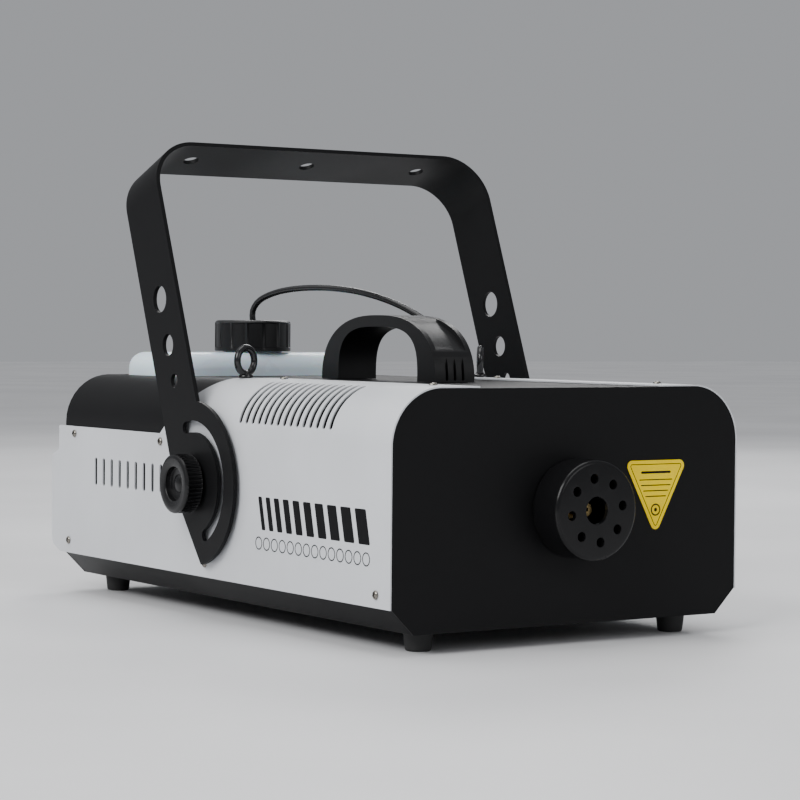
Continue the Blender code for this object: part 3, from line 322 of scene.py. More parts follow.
def lathe(name, base, axis, profile, steps=96, ring=False, ripple=None):
    """A profile of (radius, distance) turned round an axis. ripple(angle, radius, distance) may change
    the radius. Points at radius 0 close the ends."""
    shape = bmesh.new()
    rows = []
    for radius, along in profile:
        if radius < 1e-7:
            rows.append([shape.verts.new((0, 0, along))])
            continue
        row = []
        for i in range(steps):
            angle = 2 * math.pi * i / steps
            r = radius if ripple is None else ripple(angle, radius, along)
            row.append(shape.verts.new((r * math.cos(angle), r * math.sin(angle), along)))
        rows.append(row)
    pairs = list(zip(rows, rows[1:])) + ([(rows[-1], rows[0])] if ring else [])
    for first, second in pairs:
        for i in range(steps):
            j = (i + 1) % steps
            corners = [first[i % len(first)], second[i % len(second)]]
            corners += [second[j % len(second)], first[j % len(first)]]
            corners = list(dict.fromkeys(corners))
            if len(corners) > 2:
                shape.faces.new(corners)
    bmesh.ops.recalc_face_normals(shape, faces=shape.faces)
    return from_bmesh(name, shape, Matrix.Translation(Vector(base)) @ TURNS[axis])


def arc(centre, radius, start, end, steps):
    """Points (u, v) on an arc between two angles in degrees, both ends included."""
    angles = [math.radians(start + (end - start) * i / steps) for i in range(steps + 1)]
    return [(centre[0] + radius * math.cos(a), centre[1] + radius * math.sin(a)) for a in angles]


def circle(centre, radius, sides=64):
    return arc(centre, radius, 0, 360 * (sides - 1) / sides, sides - 1)


def stadium(low, high, radius, steps=8):
    """A rounded rectangle as (u, v)."""
    left, bottom, right, top = low[0] + radius, low[1] + radius, high[0] - radius, high[1] - radius
    return (
        arc((right, bottom), radius, -90, 0, steps)
        + arc((right, top), radius, 0, 90, steps)
        + arc((left, top), radius, 90, 180, steps)
        + arc((left, bottom), radius, 180, 270, steps)
    )


def facing_front(x, station, height):
    """The place of a plate drawn as (x, height), square to the body's length."""
    return Matrix.Translation(at(x, station, height)) @ Matrix.Rotation(math.pi / 2, 4, "X")


def facing_side(x, station, height):
    """The place of a plate drawn as (station, height), parallel to the flanks."""
    turn = Matrix(((0, 0, 1), (1, 0, 0), (0, 1, 0))).to_4x4()
    return Matrix.Translation(at(x, station, height)) @ turn


def facing_up(x, station, height):
    """The place of a level plate drawn as (x, station)."""
    return Matrix.Translation(at(x, station, height))


# ---------------------------------------------------------------- body skins


def section(inset, low, radius, thickness, first_x=None):
    """Closed outline of a bent sheet: one side's edge, over the top, to the other side or to first_x."""
    loops = []
    for step in (inset, inset + thickness):
        half, top, r = HALF - step, HEIGHT - step, radius - (step - inset)
        line = [(-half, low), *arc((-half + r, top - r), r, 180, 90, 24)]
        if first_x is None:
            line += [*arc((half - r, top - r), r, 90, 0, 24), (half, low)]
        else:
            line.append((first_x, top))
        loops.append(line)
    return loops[0] + loops[1][::-1]


def extruded(name, outline, first, last):
    """An (x, height) outline run along the body between two stations."""
    return plate(name, [outline], last - first, facing_front(0, (first + last) / 2, 0))


def rounded(points, radii, steps=5):
    """The closed polygon with each corner rounded to its radius."""
    result = []
    count = len(points)
    for i, (corner, radius) in enumerate(zip(points, radii)):
        here = Vector(corner)
        before, after = Vector(points[i - 1]) - here, Vector(points[(i + 1) % count]) - here
        if radius <= 0:
            result.append(tuple(here))
            continue
        before.normalize()
        after.normalize()
        half = math.acos(max(-1, min(1, before.dot(after)))) / 2
        reach = radius / math.tan(half)
        start, end = here + before * reach, here + after * reach
        centre = here + (before + after).normalized() * radius / math.sin(half)
        a = math.atan2(start.y - centre.y, start.x - centre.x)
        b = math.atan2(end.y - centre.y, end.x - centre.x)
        turn = (b - a + math.pi) % (2 * math.pi) - math.pi
        for k in range(steps + 1):
            angle = a + turn * k / steps
            result.append((centre.x + radius * math.cos(angle), centre.y + radius * math.sin(angle)))
    return result


COVER_SCREWS = [(16.6, 25.6), (243, 27), (466, 27), (456, 112.2), (312, 112)]  # (station, height) in mm
TOP_SCREWS = [27, 218]  # stations in mm
TOP_SCREW_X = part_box("flange_screw_right")[0].x + 3.1 * MM
SHOULDER_VENTS = [(75.3 + 8.56 * i) * MM for i in range(15)]
REAR_VENTS = [(418.5 - 13.4 * i) * MM for i in range(10)]
VENT_HALF = 2.1 * MM
HOOD_WINDOWS = [(62, 124, 206, 152), (290, 70, 428, 99)]  # behind the vents: station and height, in mm


def side_cover(name, side):
    """A white cover with rounded vents, its low rear part and the tab past the rear panel."""
    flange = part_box(f"side_cover_{name}")[1].x if side < 0 else -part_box(f"side_cover_{name}")[0].x
    outline = section(0, CHAMFER, SHOULDER, COVER_SHEET, flange)
    cover = extruded(f"cover_{name}", outline, 0, TAB)
    rear = REAR + 9.5 * MM
    corners = [  # (station, height) of what is kept, with the radius of each corner below
        (-0.01, 0.016),
        (rear - 0.0025, 0.016),
        (rear - 0.0025, CHAMFER),
        (TAB, CHAMFER + 0.006),
        (TAB, 0.0945),
        (rear, 0.0985),
        (rear, 0.118),
        (0.313, 0.118),
        (0.262, HEIGHT),
        (0.262, 0.2),
        (-0.01, 0.2),
    ]
    silhouette = rounded(corners, [0, 0, 0.001, 0.008, 0.0045, 0.0035, 0.0012, 0.003, 0.0015, 0, 0])
    keep = plate("keep", [silhouette], 0.1, facing_side(-0.115, 0, 0))
    cover = cut(cover, [keep], "INTERSECT")
    slots = []
    for station in SHOULDER_VENTS:
        slots.append(shoulder_slot(station))
    for station in REAR_VENTS:
        loop = stadium((station - VENT_HALF, 73.5 * MM), (station + VENT_HALF, 95 * MM), 2.05 * MM, 6)
        slots.append(plate("slot", [loop], THROUGH, facing_side(-HALF, 0, 0)))
    for station, height in COVER_SCREWS:
        hole = circle((station * MM, height * MM), SCREW_HOLE, 20)
        slots.append(plate("slot", [hole], THROUGH, facing_side(-HALF, 0, 0)))
    for station in TOP_SCREWS:
        hole = circle((0, 0), SCREW_HOLE, 20)
        slots.append(plate("slot", [hole], THROUGH, facing_up(-TOP_SCREW_X, station * MM, HEIGHT)))
    y, z = PIVOT.y - FRONT, PIVOT.z - BASE
    slots.append(plate("slot", [circle((y, z), PIVOT_HOLE, 32)], THROUGH, facing_side(-HALF, 0, 0)))
    cover = cut(cover, [joined("slots", slots)])
    if side > 0:
        mirrored(cover)
    soften(cover, 0.35 * MM, 2)
    return finish_mesh(cover, WHITE, "chassis", [f"side_cover_{name}"])


def mirrored(obj):
    """Turns a mesh into its mirror image in X, faces still outwards."""
    obj.data.transform(Matrix.Diagonal((-1, 1, 1, 1)))
    obj.data.flip_normals()


def shoulder_slot(station):
    """A cutter that follows the left shoulder: a rounded slot wrapped from 13 to 75 degrees."""
    shape = bmesh.new()
    centre_x, centre_z = -HALF + SHOULDER, HEIGHT - SHOULDER
    low, high, width = math.radians(13), math.radians(75), VENT_HALF
    reach = width / SHOULDER
    spine = []
    for i in range(6):
        turn = math.pi / 2 * i / 6
        spine.append((low + reach * (1 - math.cos(turn)), width * math.sin(turn)))
    spine += [(low + reach + (high - low - 2 * reach) * i / 16, width) for i in range(17)]
    for i in range(1, 7):
        turn = math.pi / 2 * i / 6
        spine.append((high - reach * (1 - math.sin(turn)), width * math.cos(turn)))
    rows = []
    for angle, half in spine:
        half = max(half, 0.02 * MM)
        row = []
        inner, outer = SHOULDER - 4 * MM, SHOULDER + 3 * MM
        for radius, offset in ((inner, -half), (outer, -half), (outer, half), (inner, half)):
            x, z = centre_x - radius * math.cos(angle), centre_z + radius * math.sin(angle)
            row.append(shape.verts.new(at(x, station + offset, z)))
        rows.append(row)
    for first, second in zip(rows, rows[1:]):
        for i in range(4):
            j = (i + 1) % 4
            shape.faces.new((first[i], first[j], second[j], second[i]))
    shape.faces.new(rows[0])
    shape.faces.new(rows[-1][::-1])
    bmesh.ops.recalc_face_normals(shape, faces=shape.faces)
    return from_bmesh("slot", shape)


def hood():
    """The black skin: deck with the tank's opening, rear shoulders and flanks."""
    inset = HALF - INNER
    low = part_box("hood")[0].z - BASE
    first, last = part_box("hood")[0].y - FRONT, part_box("hood")[1].y - FRONT
    skin = extruded("deck_skin", section(inset, low, SHOULDER - inset, SHEET), first, last)
    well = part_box("tank_well")
    corner = (well[0].x - GAP, well[0].y - FRONT - GAP)
    loop = stadium(corner, (well[1].x + GAP, well[1].y - FRONT + GAP), 6 * MM)
    tools = [plate("tool", [loop], THROUGH, facing_up(0, 0, DECK))]
    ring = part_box("hose_grommet")
    x, y = (ring[0].x + ring[1].x) / 2, (ring[0].y + ring[1].y) / 2 - FRONT
    tools.append(plate("tool", [circle((x, y), 5.2 * MM)], THROUGH, facing_up(0, 0, DECK)))
    for side in (-1, 1):
        for left, bottom, right, top in HOOD_WINDOWS:
            window = [(left, bottom), (right, bottom), (right, top), (left, top)]
            window = [(u * MM, v * MM) for u, v in window]
            tools.append(plate("tool", [window], 0.045, facing_side(side * 0.1345, 0, 0)))
        pivot = circle((PIVOT.y - FRONT, PIVOT.z - BASE), PIVOT_HOLE, 32)
        tools.append(plate("tool", [pivot], THROUGH, facing_side(side * INNER, 0, 0)))
    skin = cut(skin, [joined("tools", tools)])
    soften(skin, 0.3 * MM, 2)
    return finish_mesh(skin, BLACK, "chassis", ["hood"])


def end_outline(inset):
    """The body's end view as (x, height), this far inside its edge."""
    half, top, radius = INNER - inset, DECK - inset, SHOULDER - (HALF - INNER) - inset
    slant = CHAMFER - inset * 0.4
    line = [(half - slant, inset), (half, slant + inset)]
    line += arc((half - radius, top - radius), radius, 0, 90, 32)
    line += arc((-half + radius, top - radius), radius, 90, 180, 32)
    return line + [(-half, slant + inset), (-half + slant, inset)]


def front_panel():
    centre = (0, nozzle_height())
    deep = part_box("front_panel")[1].y - FRONT
    body = plate("front_plate", [end_outline(0), circle(centre, 24 * MM)], deep, facing_front(0, deep / 2, 0))
    soften(body, 0.5 * MM, 3)
    return finish_mesh(body, BLACK, "chassis", ["front_panel"])


def nozzle_height():
    low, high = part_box("nozzle_cover")
    return (low.z + high.z) / 2 - BASE


# ---------------------------------------------------------------- screws, feet, eyes


def pan_screw(name, base, axis, turn, nodes=()):
    """A pan-head screw with a cross recess."""
    head = [(0, 1.9), (0.9, 1.87), (1.9, 1.66), (2.6, 1.2), (3.0, 0.6), (3.05, 0.32)]
    head += [(1.7, 0.3), (1.7, -0.9), (0, -0.9)]
    screw = lathe(name, base, axis, [(r * MM, a * MM) for r, a in head], steps=40)
    cross = []
    for half_w, half_l in ((0.5, 1.9), (1.9, 0.5)):
        loop = [(-half_w, -half_l), (half_w, -half_l), (half_w, half_l), (-half_w, half_l)]
        place = screw.matrix_world @ Matrix.Rotation(turn, 4, "Z") @ Matrix.Translation((0, 0, 1.75 * MM))
        cross.append(plate("cross", [[(u * MM, v * MM) for u, v in loop]], 1.6 * MM, place))
    screw = cut(screw, cross)
    return finish_mesh(screw, SCREW, "chassis", nodes, sharp=30)


def screws():
    for side, axis, name in ((-1, "-X", "left"), (1, "X", "right")):
        stands = {0: f"cover_screw_{name}_front", 2: f"cover_screw_{name}_rear"}
        for i, (station, height) in enumerate(COVER_SCREWS):
            nodes = [stands[i]] if i in stands else []
            place = at(side * HALF, station * MM, height * MM)
            pan_screw(f"flank_screw_{name}_{i}", place, axis, 0.4 + i, nodes)
        for i, station in enumerate(TOP_SCREWS):
            nodes = [f"flange_screw_{name}"] if i == 0 else []
            place = at(side * TOP_SCREW_X, station * MM, HEIGHT)
            pan_screw(f"top_screw_{name}_{i}", place, "Z", 0.2 + i, nodes)


def feet():
    for row in ("front", "rear"):
        for name in ("left", "right"):
            node = f"foot_{row}_{name}"
            low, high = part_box(node)
            base = Vector(((low.x + high.x) / 2, (low.y + high.y) / 2, low.z))
            top = high.z - low.z
            profile = [(0, top), (8 * MM, top), (9.6 * MM, top - 0.3 * MM), (10 * MM, top - 0.9 * MM)]
            profile += [(9.9 * MM, top - 2 * MM), (8.75 * MM, 1.6 * MM)]
            profile += [(8.5 * MM, 0.7 * MM), (7.8 * MM, 0.1 * MM)]
            profile += [(7.2 * MM, 0), (4 * MM, 0), (3.6 * MM, 0.5 * MM), (3.6 * MM, 4 * MM), (0, 4 * MM)]
            foot = lathe(f"rubber_{node}", base, "Z", profile, steps=64)
            finish_mesh(foot, RUBBER, "chassis", [node])


EYE_TURNS = {"left": math.radians(20), "right": math.radians(56)}


def torus(name, centre, major, minor, axis, turn, steps=72, sides=24):
    shape = bmesh.new()
    rows = []
    for i in range(steps):
        a = 2 * math.pi * i / steps
        row = []
        for j in range(sides):
            b = 2 * math.pi * j / sides
            r = major + minor * math.cos(b)
            row.append(shape.verts.new((r * math.cos(a), r * math.sin(a), minor * math.sin(b))))
        rows.append(row)
    for i in range(steps):
        first, second = rows[i], rows[(i + 1) % steps]
        for j in range(sides):
            k = (j + 1) % sides
            shape.faces.new((first[j], second[j], second[k], first[k]))
    return from_bmesh(name, shape, Matrix.Translation(centre) @ Matrix.Rotation(turn, 4, "Z") @ TURNS[axis])


def eye_bolts():
    for name in ("left", "right"):
        low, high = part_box(f"eye_bolt_{name}")
        x, y = (low.x + high.x) / 2, (low.y + high.y) / 2
        ring = torus("ring", Vector((x, y, high.z - 12 * MM)), 9.5 * MM, 2.5 * MM, "Y", EYE_TURNS[name])
        stem = [(0, 5.2), (2.6, 4.6), (3.0, 3.4), (3.8, 2.6), (5.2, 2.2), (5.4, 1.9)]
        stem += [(5.4, 0.5), (5.2, 0.3), (3, 0.3), (3, -13), (0, -13)]
        foot = Vector((x, y, BASE + HEIGHT))
        collar = lathe("collar", foot, "Z", [(r * MM, a * MM) for r, a in stem], steps=48)
        eye = cut(ring, [collar], "UNION")
        eye.name = f"safety_eye_{name}"
        finish_mesh(eye, GLOSS, "chassis", [f"eye_bolt_{name}"], sharp=40)


# ---------------------------------------------------------------- outlet and handle


def nozzle():
    """The outlet cup: one large hole in its face and a ring of eight small ones."""
    low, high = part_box("nozzle_cover")
    depth, radius = FRONT - low.y, (high.x - low.x) / 2
    wall, face, ring = 2.2 * MM, 3.5 * MM, 21.3 * MM
    profile = [(9 * MM, depth - 0.5 * MM), (9.5 * MM, depth)]
    for i in range(9):
        angle = math.pi / 2 * i / 8
        edge = (radius - 3 * MM + 3 * MM * math.sin(angle), depth - 3 * MM + 3 * MM * math.cos(angle))
        profile.append(edge)
    profile += [(radius, 4 * MM), (radius - 0.4 * MM, 1.2 * MM), (radius - 1 * MM, GAP), (radius - wall, GAP)]
    profile += [(radius - wall, depth - face), (9 * MM, depth - face)]
    base = at(0, 0, nozzle_height())
    cup = lathe("outlet_cup", base, "-Y", profile, steps=128, ring=True)
    tools = []
    for i in range(8):
        angle = math.radians(7.5 + 45 * i)
        x, height = ring * math.cos(angle), nozzle_height() + ring * math.sin(angle)
        place = facing_front(x, -depth, height)
        tools.append(plate("tool", [circle((0, 0), 3.3 * MM, 32)], THROUGH, place))
    cup = cut(cup, [joined("tools", tools)])
    soften(cup, 0.4 * MM, 3, 40)
    finish_mesh(cup, SATIN, "chassis", ["nozzle_cover"])


ARCH_WIDE, ARCH_TALL = 0.8, 0.85  # powers that square off the handle's outer curve


def handle():
    """The arch handle with rounded edges, three grooves in each end face and a scoop above each end."""
    low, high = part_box("carry_handle")
    first, last = low.y - FRONT, high.y - FRONT
    middle, half, rise, base = (first + last) / 2, (last - first) / 2, high.z - low.z, low.z - BASE
    outer, inner = [], []
    for i in range(49):
        angle = math.pi * i / 48
        c, s = math.cos(angle), math.sin(angle)
        outer.append((middle + half * math.copysign(abs(c) ** ARCH_WIDE, c), base + rise * s**ARCH_TALL))
        reach = (half - 23.5 * MM) * math.copysign(abs(c) ** 0.62, c)
        inner.append((middle - reach, base + (rise - 8.5 * MM) * s**0.6))
    width = high.x - low.x
    arch = plate("arch_handle", [outer + inner], width, facing_side(0, 0, 0))
    groove = 1.2 * MM
    tools = []
    for x in (-7, 0, 7):
        for end in (first, last):
            low_corner = (x * MM - groove, base + 1 * MM)
            loop = stadium(low_corner, (x * MM + groove, base + 24 * MM), 1.1 * MM, 5)
            tools.append(plate("tool", [loop], 6 * MM, facing_front(0, end, 0)))
    for sign in (-1, 1):
        scoop = []
        for i in range(13):
            angle = math.radians(24 + 46 * i / 12)
            c, s = math.cos(angle) ** ARCH_WIDE, math.sin(angle) ** ARCH_TALL
            scoop.append((middle + sign * (half + 6 * MM) * c, base + (rise + 6 * MM) * s))
        for i in range(13):
            angle = math.radians(70 - 46 * i / 12)
            c, s = math.cos(angle) ** ARCH_WIDE, math.sin(angle) ** ARCH_TALL
            depth = 3.4 * MM * math.sin(math.pi * i / 12) ** 0.5
            scoop.append((middle + sign * (half - depth) * c, base + (rise - depth) * s))
        tools.append(plate("tool", [scoop], width - 8 * MM, facing_side(0, 0, 0)))
    arch = cut(arch, tools)
    soften(arch, 1.6 * MM, 4, 50)
    finish_mesh(arch, DARK, "chassis", ["carry_handle"], sharp=50)


# ---------------------------------------------------------------- tank, cap, hose


def tank():
    """The hollow bottle, open at its neck."""
    low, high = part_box("fluid_tank")
    neck_top = high.z
    body_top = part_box("tank_cap")[0].z - 1 * MM - BASE
    first, last = low.y - FRONT, high.y - FRONT
    shell = block("bottle", (low.x, first, low.z - BASE), (high.x, last, body_top), 13 * MM, 8)
    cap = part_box("tank_cap")
    centre = Vector(((cap[0].x + cap[1].x) / 2, (cap[0].y + cap[1].y) / 2, 0))
    neck = [(0, neck_top), (23 * MM, neck_top), (24 * MM, neck_top - 1 * MM)]
    neck += [(24 * MM, high.z - 40 * MM), (0, high.z - 40 * MM)]
    collar = lathe("neck", centre, "Z", neck, steps=64)
    shell = cut(shell, [collar], "UNION")
    bore = [(0, neck_top + 5 * MM), (21.8 * MM, neck_top + 5 * MM)]
    bore += [(21.8 * MM, high.z - 34 * MM), (0, high.z - 34 * MM)]
    hollow = block(
        "hollow",
        (low.x + 2.2 * MM, first + 2.2 * MM, low.z - BASE + 2.2 * MM),
        (high.x - 2.2 * MM, last - 2.2 * MM, body_top - 2.2 * MM),
        11 * MM,
        4,
    )
    shell = cut(shell, [hollow, lathe("bore", centre, "Z", bore, steps=64)])
    shell.name = "milky_bottle"
    finish_mesh(shell, HDPE, "chassis", ["fluid_tank"], sharp=40)


CAP_RIBS = 14


def tank_cap():
    low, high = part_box("tank_cap")
    centre = Vector(((low.x + high.x) / 2, (low.y + high.y) / 2, low.z))
    radius, tall = (high.x - low.x) / 2, high.z - low.z

    def ripple(angle, r, along):
        if r < radius - 1.6 * MM or along > tall - 2.2 * MM or along < 3 * MM:
            return r
        return r - 1.0 * MM * (1 - max(0.0, math.cos(angle * CAP_RIBS)) ** 12)

    profile = [(4.5, tall / MM - 2.2), (5, tall / MM - 1.6), (12, tall / MM - 1.6), (13.2, tall / MM)]
    profile += [(radius / MM - 2.6, tall / MM), (radius / MM - 0.8, tall / MM - 0.8)]
    profile.append((radius / MM - 0.1, tall / MM - 2.1))
    profile += [(radius / MM, tall / MM - 2.6), (radius / MM, 3.4), (radius / MM, 2.9), (radius / MM, 0.5)]
    profile += [(radius / MM - 0.5, 0), (25, 0), (25, tall / MM - 4), (4.5, tall / MM - 4)]
    profile = [(r * MM, a * MM) for r, a in profile]
    cap = lathe("ribbed_cap", centre, "Z", profile, steps=240, ring=True, ripple=ripple)
    finish_mesh(cap, DARK, "cap", ["tank_cap"], sharp=40)


HOSE_ROUTE = [  # (x, station, height) in mm: filter, cap, arch, deck grommet, pump
    (0, 427, 74),
    (0, 427, 110),
    (0, 427, 150),
    (0, 427, 186),
    (0, 427, 202),
    (-0.3, 426.5, 211),
    (1.5, 418, 219.5),
    (5, 398, 225.5),
    (9.5, 370, 228.5),
    (15, 334, 228.5),
    (23, 300, 225),
    (32, 266, 216.5),
    (39.5, 237, 204),
    (45.5, 215, 188),
    (49.3, 203, 172),
    (50, 200, 159),
    (51.5, 199, 145),
    (58, 199, 122),
    (68, 201, 96),
    (79, 205, 68),
    (88, 213, 49),
    (92, 226, 44),
]


def smooth_route(points, spacing):
    """A smooth line through the points, with a point about every spacing."""
    points = [Vector(p) for p in points]
    ends = [points[0] * 2 - points[1], *points, points[-1] * 2 - points[-2]]
    route = [points[0]]
    for before, start, end, after in zip(ends, ends[1:], ends[2:], ends[3:]):
        count = max(1, round((end - start).length / spacing))
        for i in range(1, count + 1):
            t = i / count
            bend = (2 * before - 5 * start + 4 * end - after) * t**2
            bend += (3 * start - before - 3 * end + after) * t**3
            route.append(0.5 * (2 * start + (end - before) * t + bend))
    return route


def tube(name, points, radius, paint, body, nodes):
    curve = bpy.data.curves.new(name, "CURVE")
    curve.dimensions = "3D"
    curve.bevel_depth = radius
    curve.bevel_resolution = 6
    curve.use_fill_caps = True
    spline = curve.splines.new("POLY")
    spline.points.add(len(points) - 1)
    for point, place in zip(spline.points, points):
        point.co = (*place, 1)
    curve.materials.append(paint)
    obj = new_object(name, curve)
    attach(obj, body)
    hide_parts(*nodes)
    return obj


def hose():
    route = [at(*(p * MM)) for p in smooth_route(HOSE_ROUTE, 4)]
    line = tube("draw_hose", route, 2.5 * MM, HOSE, "chassis", ["suction_hose"])


# ---------------------------------------------------------------- yoke and knobs

YOKE_HALF = 26 * MM
YOKE_INNER = 148 * MM
YOKE_SHEET = 3 * MM
REACH = 259.5 * MM
BEND = 37 * MM
PLATE = 59.5 * MM
FAN_END, FAN_TIP, FAN_TANGENT = 276.5, 278, 280
SLOT_INNER, SLOT_MIDDLE, SLOT_OUTER, SLOT_CAP = 36.75 * MM, 41 * MM, 45.25 * MM, 4.25 * MM
SLOT_START, SLOT_END = 96, 264
LEG_HOLES = [(142.7, 10), (106.6, 8), (78.8, 5), (0, 5)]  # distance from the pivot and radius, in mm


def leg_loops():
    """One leg's outline, its slot and its holes, with the pivot at (0, 0)."""
    top = REACH - BEND
    join_height = math.sqrt(PLATE**2 - YOKE_HALF**2)
    start = math.degrees(math.atan2(join_height, -YOKE_HALF))
    tangent = FAN_TANGENT + math.degrees(math.acos(YOKE_HALF / PLATE))
    outline = [(YOKE_HALF, top), (-YOKE_HALF, top), *arc((0, 0), PLATE, start, FAN_END, 60)]
    tip = math.radians(FAN_TIP)
    outline.append((PLATE * 0.992 * math.cos(tip + 0.012), PLATE * 0.992 * math.sin(tip + 0.012)))
    outline += arc((0, 0), YOKE_HALF, tangent, 360, 14)
    slot_loop = arc((0, 0), SLOT_OUTER, SLOT_START, SLOT_END, 60)
    for angle, turn in ((SLOT_END, 0), (SLOT_START, 180)):
        radians = math.radians(angle)
        centre = (SLOT_MIDDLE * math.cos(radians), SLOT_MIDDLE * math.sin(radians))
        slot_loop += arc(centre, SLOT_CAP, angle + turn, angle + turn + 180, 12)[1:-1]
        if turn == 0:
            slot_loop += arc((0, 0), SLOT_INNER, SLOT_END, SLOT_START, 60)
    holes = [circle((0, distance * MM), radius * MM, 48) for distance, radius in LEG_HOLES]
    return [outline, slot_loop, *holes]


def yoke():
    """Two flat legs and the bent bow between them, with the clamp holes."""
    pose = Matrix.Translation(PIVOT) @ Matrix.Rotation(-LEAN, 4, "X")
    turn = Matrix(((0, 0, 1), (1, 0, 0), (0, 1, 0))).to_4x4()
    loops = leg_loops()
    parts = []
    for side in (-1, 1):
        place = pose @ Matrix.Translation((side * (YOKE_INNER + YOKE_SHEET / 2), 0, 0)) @ turn
        parts.append(plate("leg", loops, YOKE_SHEET, place))
    outer_x, centre_z = YOKE_INNER + YOKE_SHEET, REACH - BEND
    low = centre_z - 2 * MM
    line = [(outer_x, low), *arc((outer_x - BEND, centre_z), BEND, 0, 90, 20)]
    line += [*arc((-outer_x + BEND, centre_z), BEND, 90, 180, 20), (-outer_x, low)]
    r = BEND - YOKE_SHEET
    line += [(-YOKE_INNER, low), *arc((-outer_x + BEND, centre_z), r, 180, 90, 20)]
    line += [*arc((outer_x - BEND, centre_z), r, 90, 0, 20), (YOKE_INNER, low)]
    bow = plate("bow", [line], 2 * YOKE_HALF, pose @ Matrix.Rotation(math.pi / 2, 4, "X"))
    tools = []
    for x in (-103, 0, 103):
        place = pose @ Matrix.Translation((0, 0, REACH))
        tools.append(plate("tool", [circle((x * MM, 0), 6 * MM, 40)], THROUGH, place))
    bow = cut(bow, [joined("tools", tools)])
    whole = cut(parts[0], [parts[1], bow], "UNION")
    whole.name = "bent_yoke"
    soften(whole, 0.45 * MM, 3, 40)
    finish_mesh(whole, BLACK, "yoke", ["yoke"], sharp=35)


KNOB_RIBS = 44


def knobs():
    """Fluted knobs, each with the domed end of its stud."""
    for name, axis, side in (("left", "-X", -1), ("right", "X", 1)):
        low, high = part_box(f"knob_{name}")
        radius = (high.z - low.z) / 2
        base = Vector((side * (YOKE_INNER + YOKE_SHEET), PIVOT.y, PIVOT.z))
        top = 16.5

        def ripple(angle, r, along):
            if r < radius - 0.5 * MM or not 3.5 * MM < along < (top - 2.2) * MM:
                return r
            return r - 1.1 * MM * (0.5 - 0.5 * math.cos(angle * KNOB_RIBS)) ** 2

        rim = radius / MM
        profile = [(4.4, top - 5.2), (11.4, top - 5.2), (12, top - 4.9), (12.3, top - 4.2)]
        profile += [(12.5, top - 1.2), (13, top - 0.7), (13.8, top - 0.5), (18.2, top - 0.1)]
        profile += [(19.6, top - 0.2), (rim - 0.3, top - 1.1), (rim, top - 2.1), (rim, top - 2.3), (rim, 3.7)]
        profile += [(rim, 3.4), (rim - 0.5, 2.7), (19, 2.2), (11.4, 2.2), (11, 1.8), (11, 0.3), (4.4, 0.3)]
        profile = [(r * MM, a * MM) for r, a in profile]
        knob = lathe(f"fluted_knob_{name}", base, axis, profile, 8 * KNOB_RIBS, True, ripple)
        finish_mesh(knob, KNOB, f"knob_{name}", [f"knob_{name}"], sharp=40)
        seat = top - 4.9
        dome = [(0, seat + 1.7), (2, seat + 1.6), (4.2, seat + 1.2), (5.8, seat + 0.5), (6.6, seat)]
        dome += [(4, seat), (4, -15.5), (0, -15.5)]
        stud = lathe(f"knob_core_{name}", base, axis, [(r * MM, a * MM) for r, a in dome], 64)
        finish_mesh(stud, KNOB, f"knob_{name}", [f"knob_stud_{name}"], sharp=40)


# ---------------------------------------------------------------- label and flank mark


INK_DEPTH = 0.04 * MM


def triangle(centre, half, top, drop, radius, inset=0.0):
    """A triangle that points down, with rounded corners, inset from its edge."""
    slant = math.degrees(math.atan2(half, drop))
    tuck = radius / math.tan(math.radians((90 - slant) / 2))
    radius = radius - inset
    right = (centre + half - tuck, top - (radius + inset))
    left = (centre - half + tuck, top - (radius + inset))
    bottom = (centre, top - drop + (radius + inset) / math.sin(math.radians(slant)))
    loop = arc(right, radius, 90, -slant, 8)
    loop += arc(bottom, radius, -slant, -180 + slant, 8)
    return loop + arc(left, radius, 180 + slant, 90, 8)


def label():
    """A plain yellow triangle with a thin border, bars and a ringed dot in place of any wording."""
    low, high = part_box("warning_label")
    centre, top = (low.x + high.x) / 2, high.z - BASE
    half, drop, radius = 27.5 * MM, 52 * MM, 4 * MM
    back = low.y - FRONT
    edge = triangle(centre, half, top, drop, radius)
    film = plate("label_film", [edge], 0.3 * MM, facing_front(0, back + 0.24 * MM, 0))
    finish_mesh(film, YELLOW, "chassis", ["warning_label"])
    marks = [triangle(centre, half, top, drop, radius, inset * MM) for inset in (2.5, 3)]
    marks[1].reverse()
    face = facing_front(0, back + 0.06 * MM, 0)
    ink = [plate("ink", marks, INK_DEPTH, face)]
    rows = [(7.5, 13), (13, 14.5), (16.8, 13), (20.6, 11), (24.4, 9)]
    for i, (depth, reach) in enumerate(rows):
        tall = 1.6 if i == 0 else 0.7
        corner = (centre - reach * MM, top - (depth + tall) * MM)
        loop = stadium(corner, (centre + reach * MM, top - depth * MM), tall * 0.45 * MM, 3)
        ink.append(plate("ink", [loop], INK_DEPTH, face))
    dot = (centre, top - 34 * MM)
    ink.append(plate("ink", [circle(dot, 4.2 * MM), circle(dot, 3.2 * MM)[::-1]], INK_DEPTH, face))
    ink.append(plate("ink", [circle(dot, 1.3 * MM, 24)], INK_DEPTH, face))
    finish_mesh(joined("label_bars", ink), INK, "chassis")


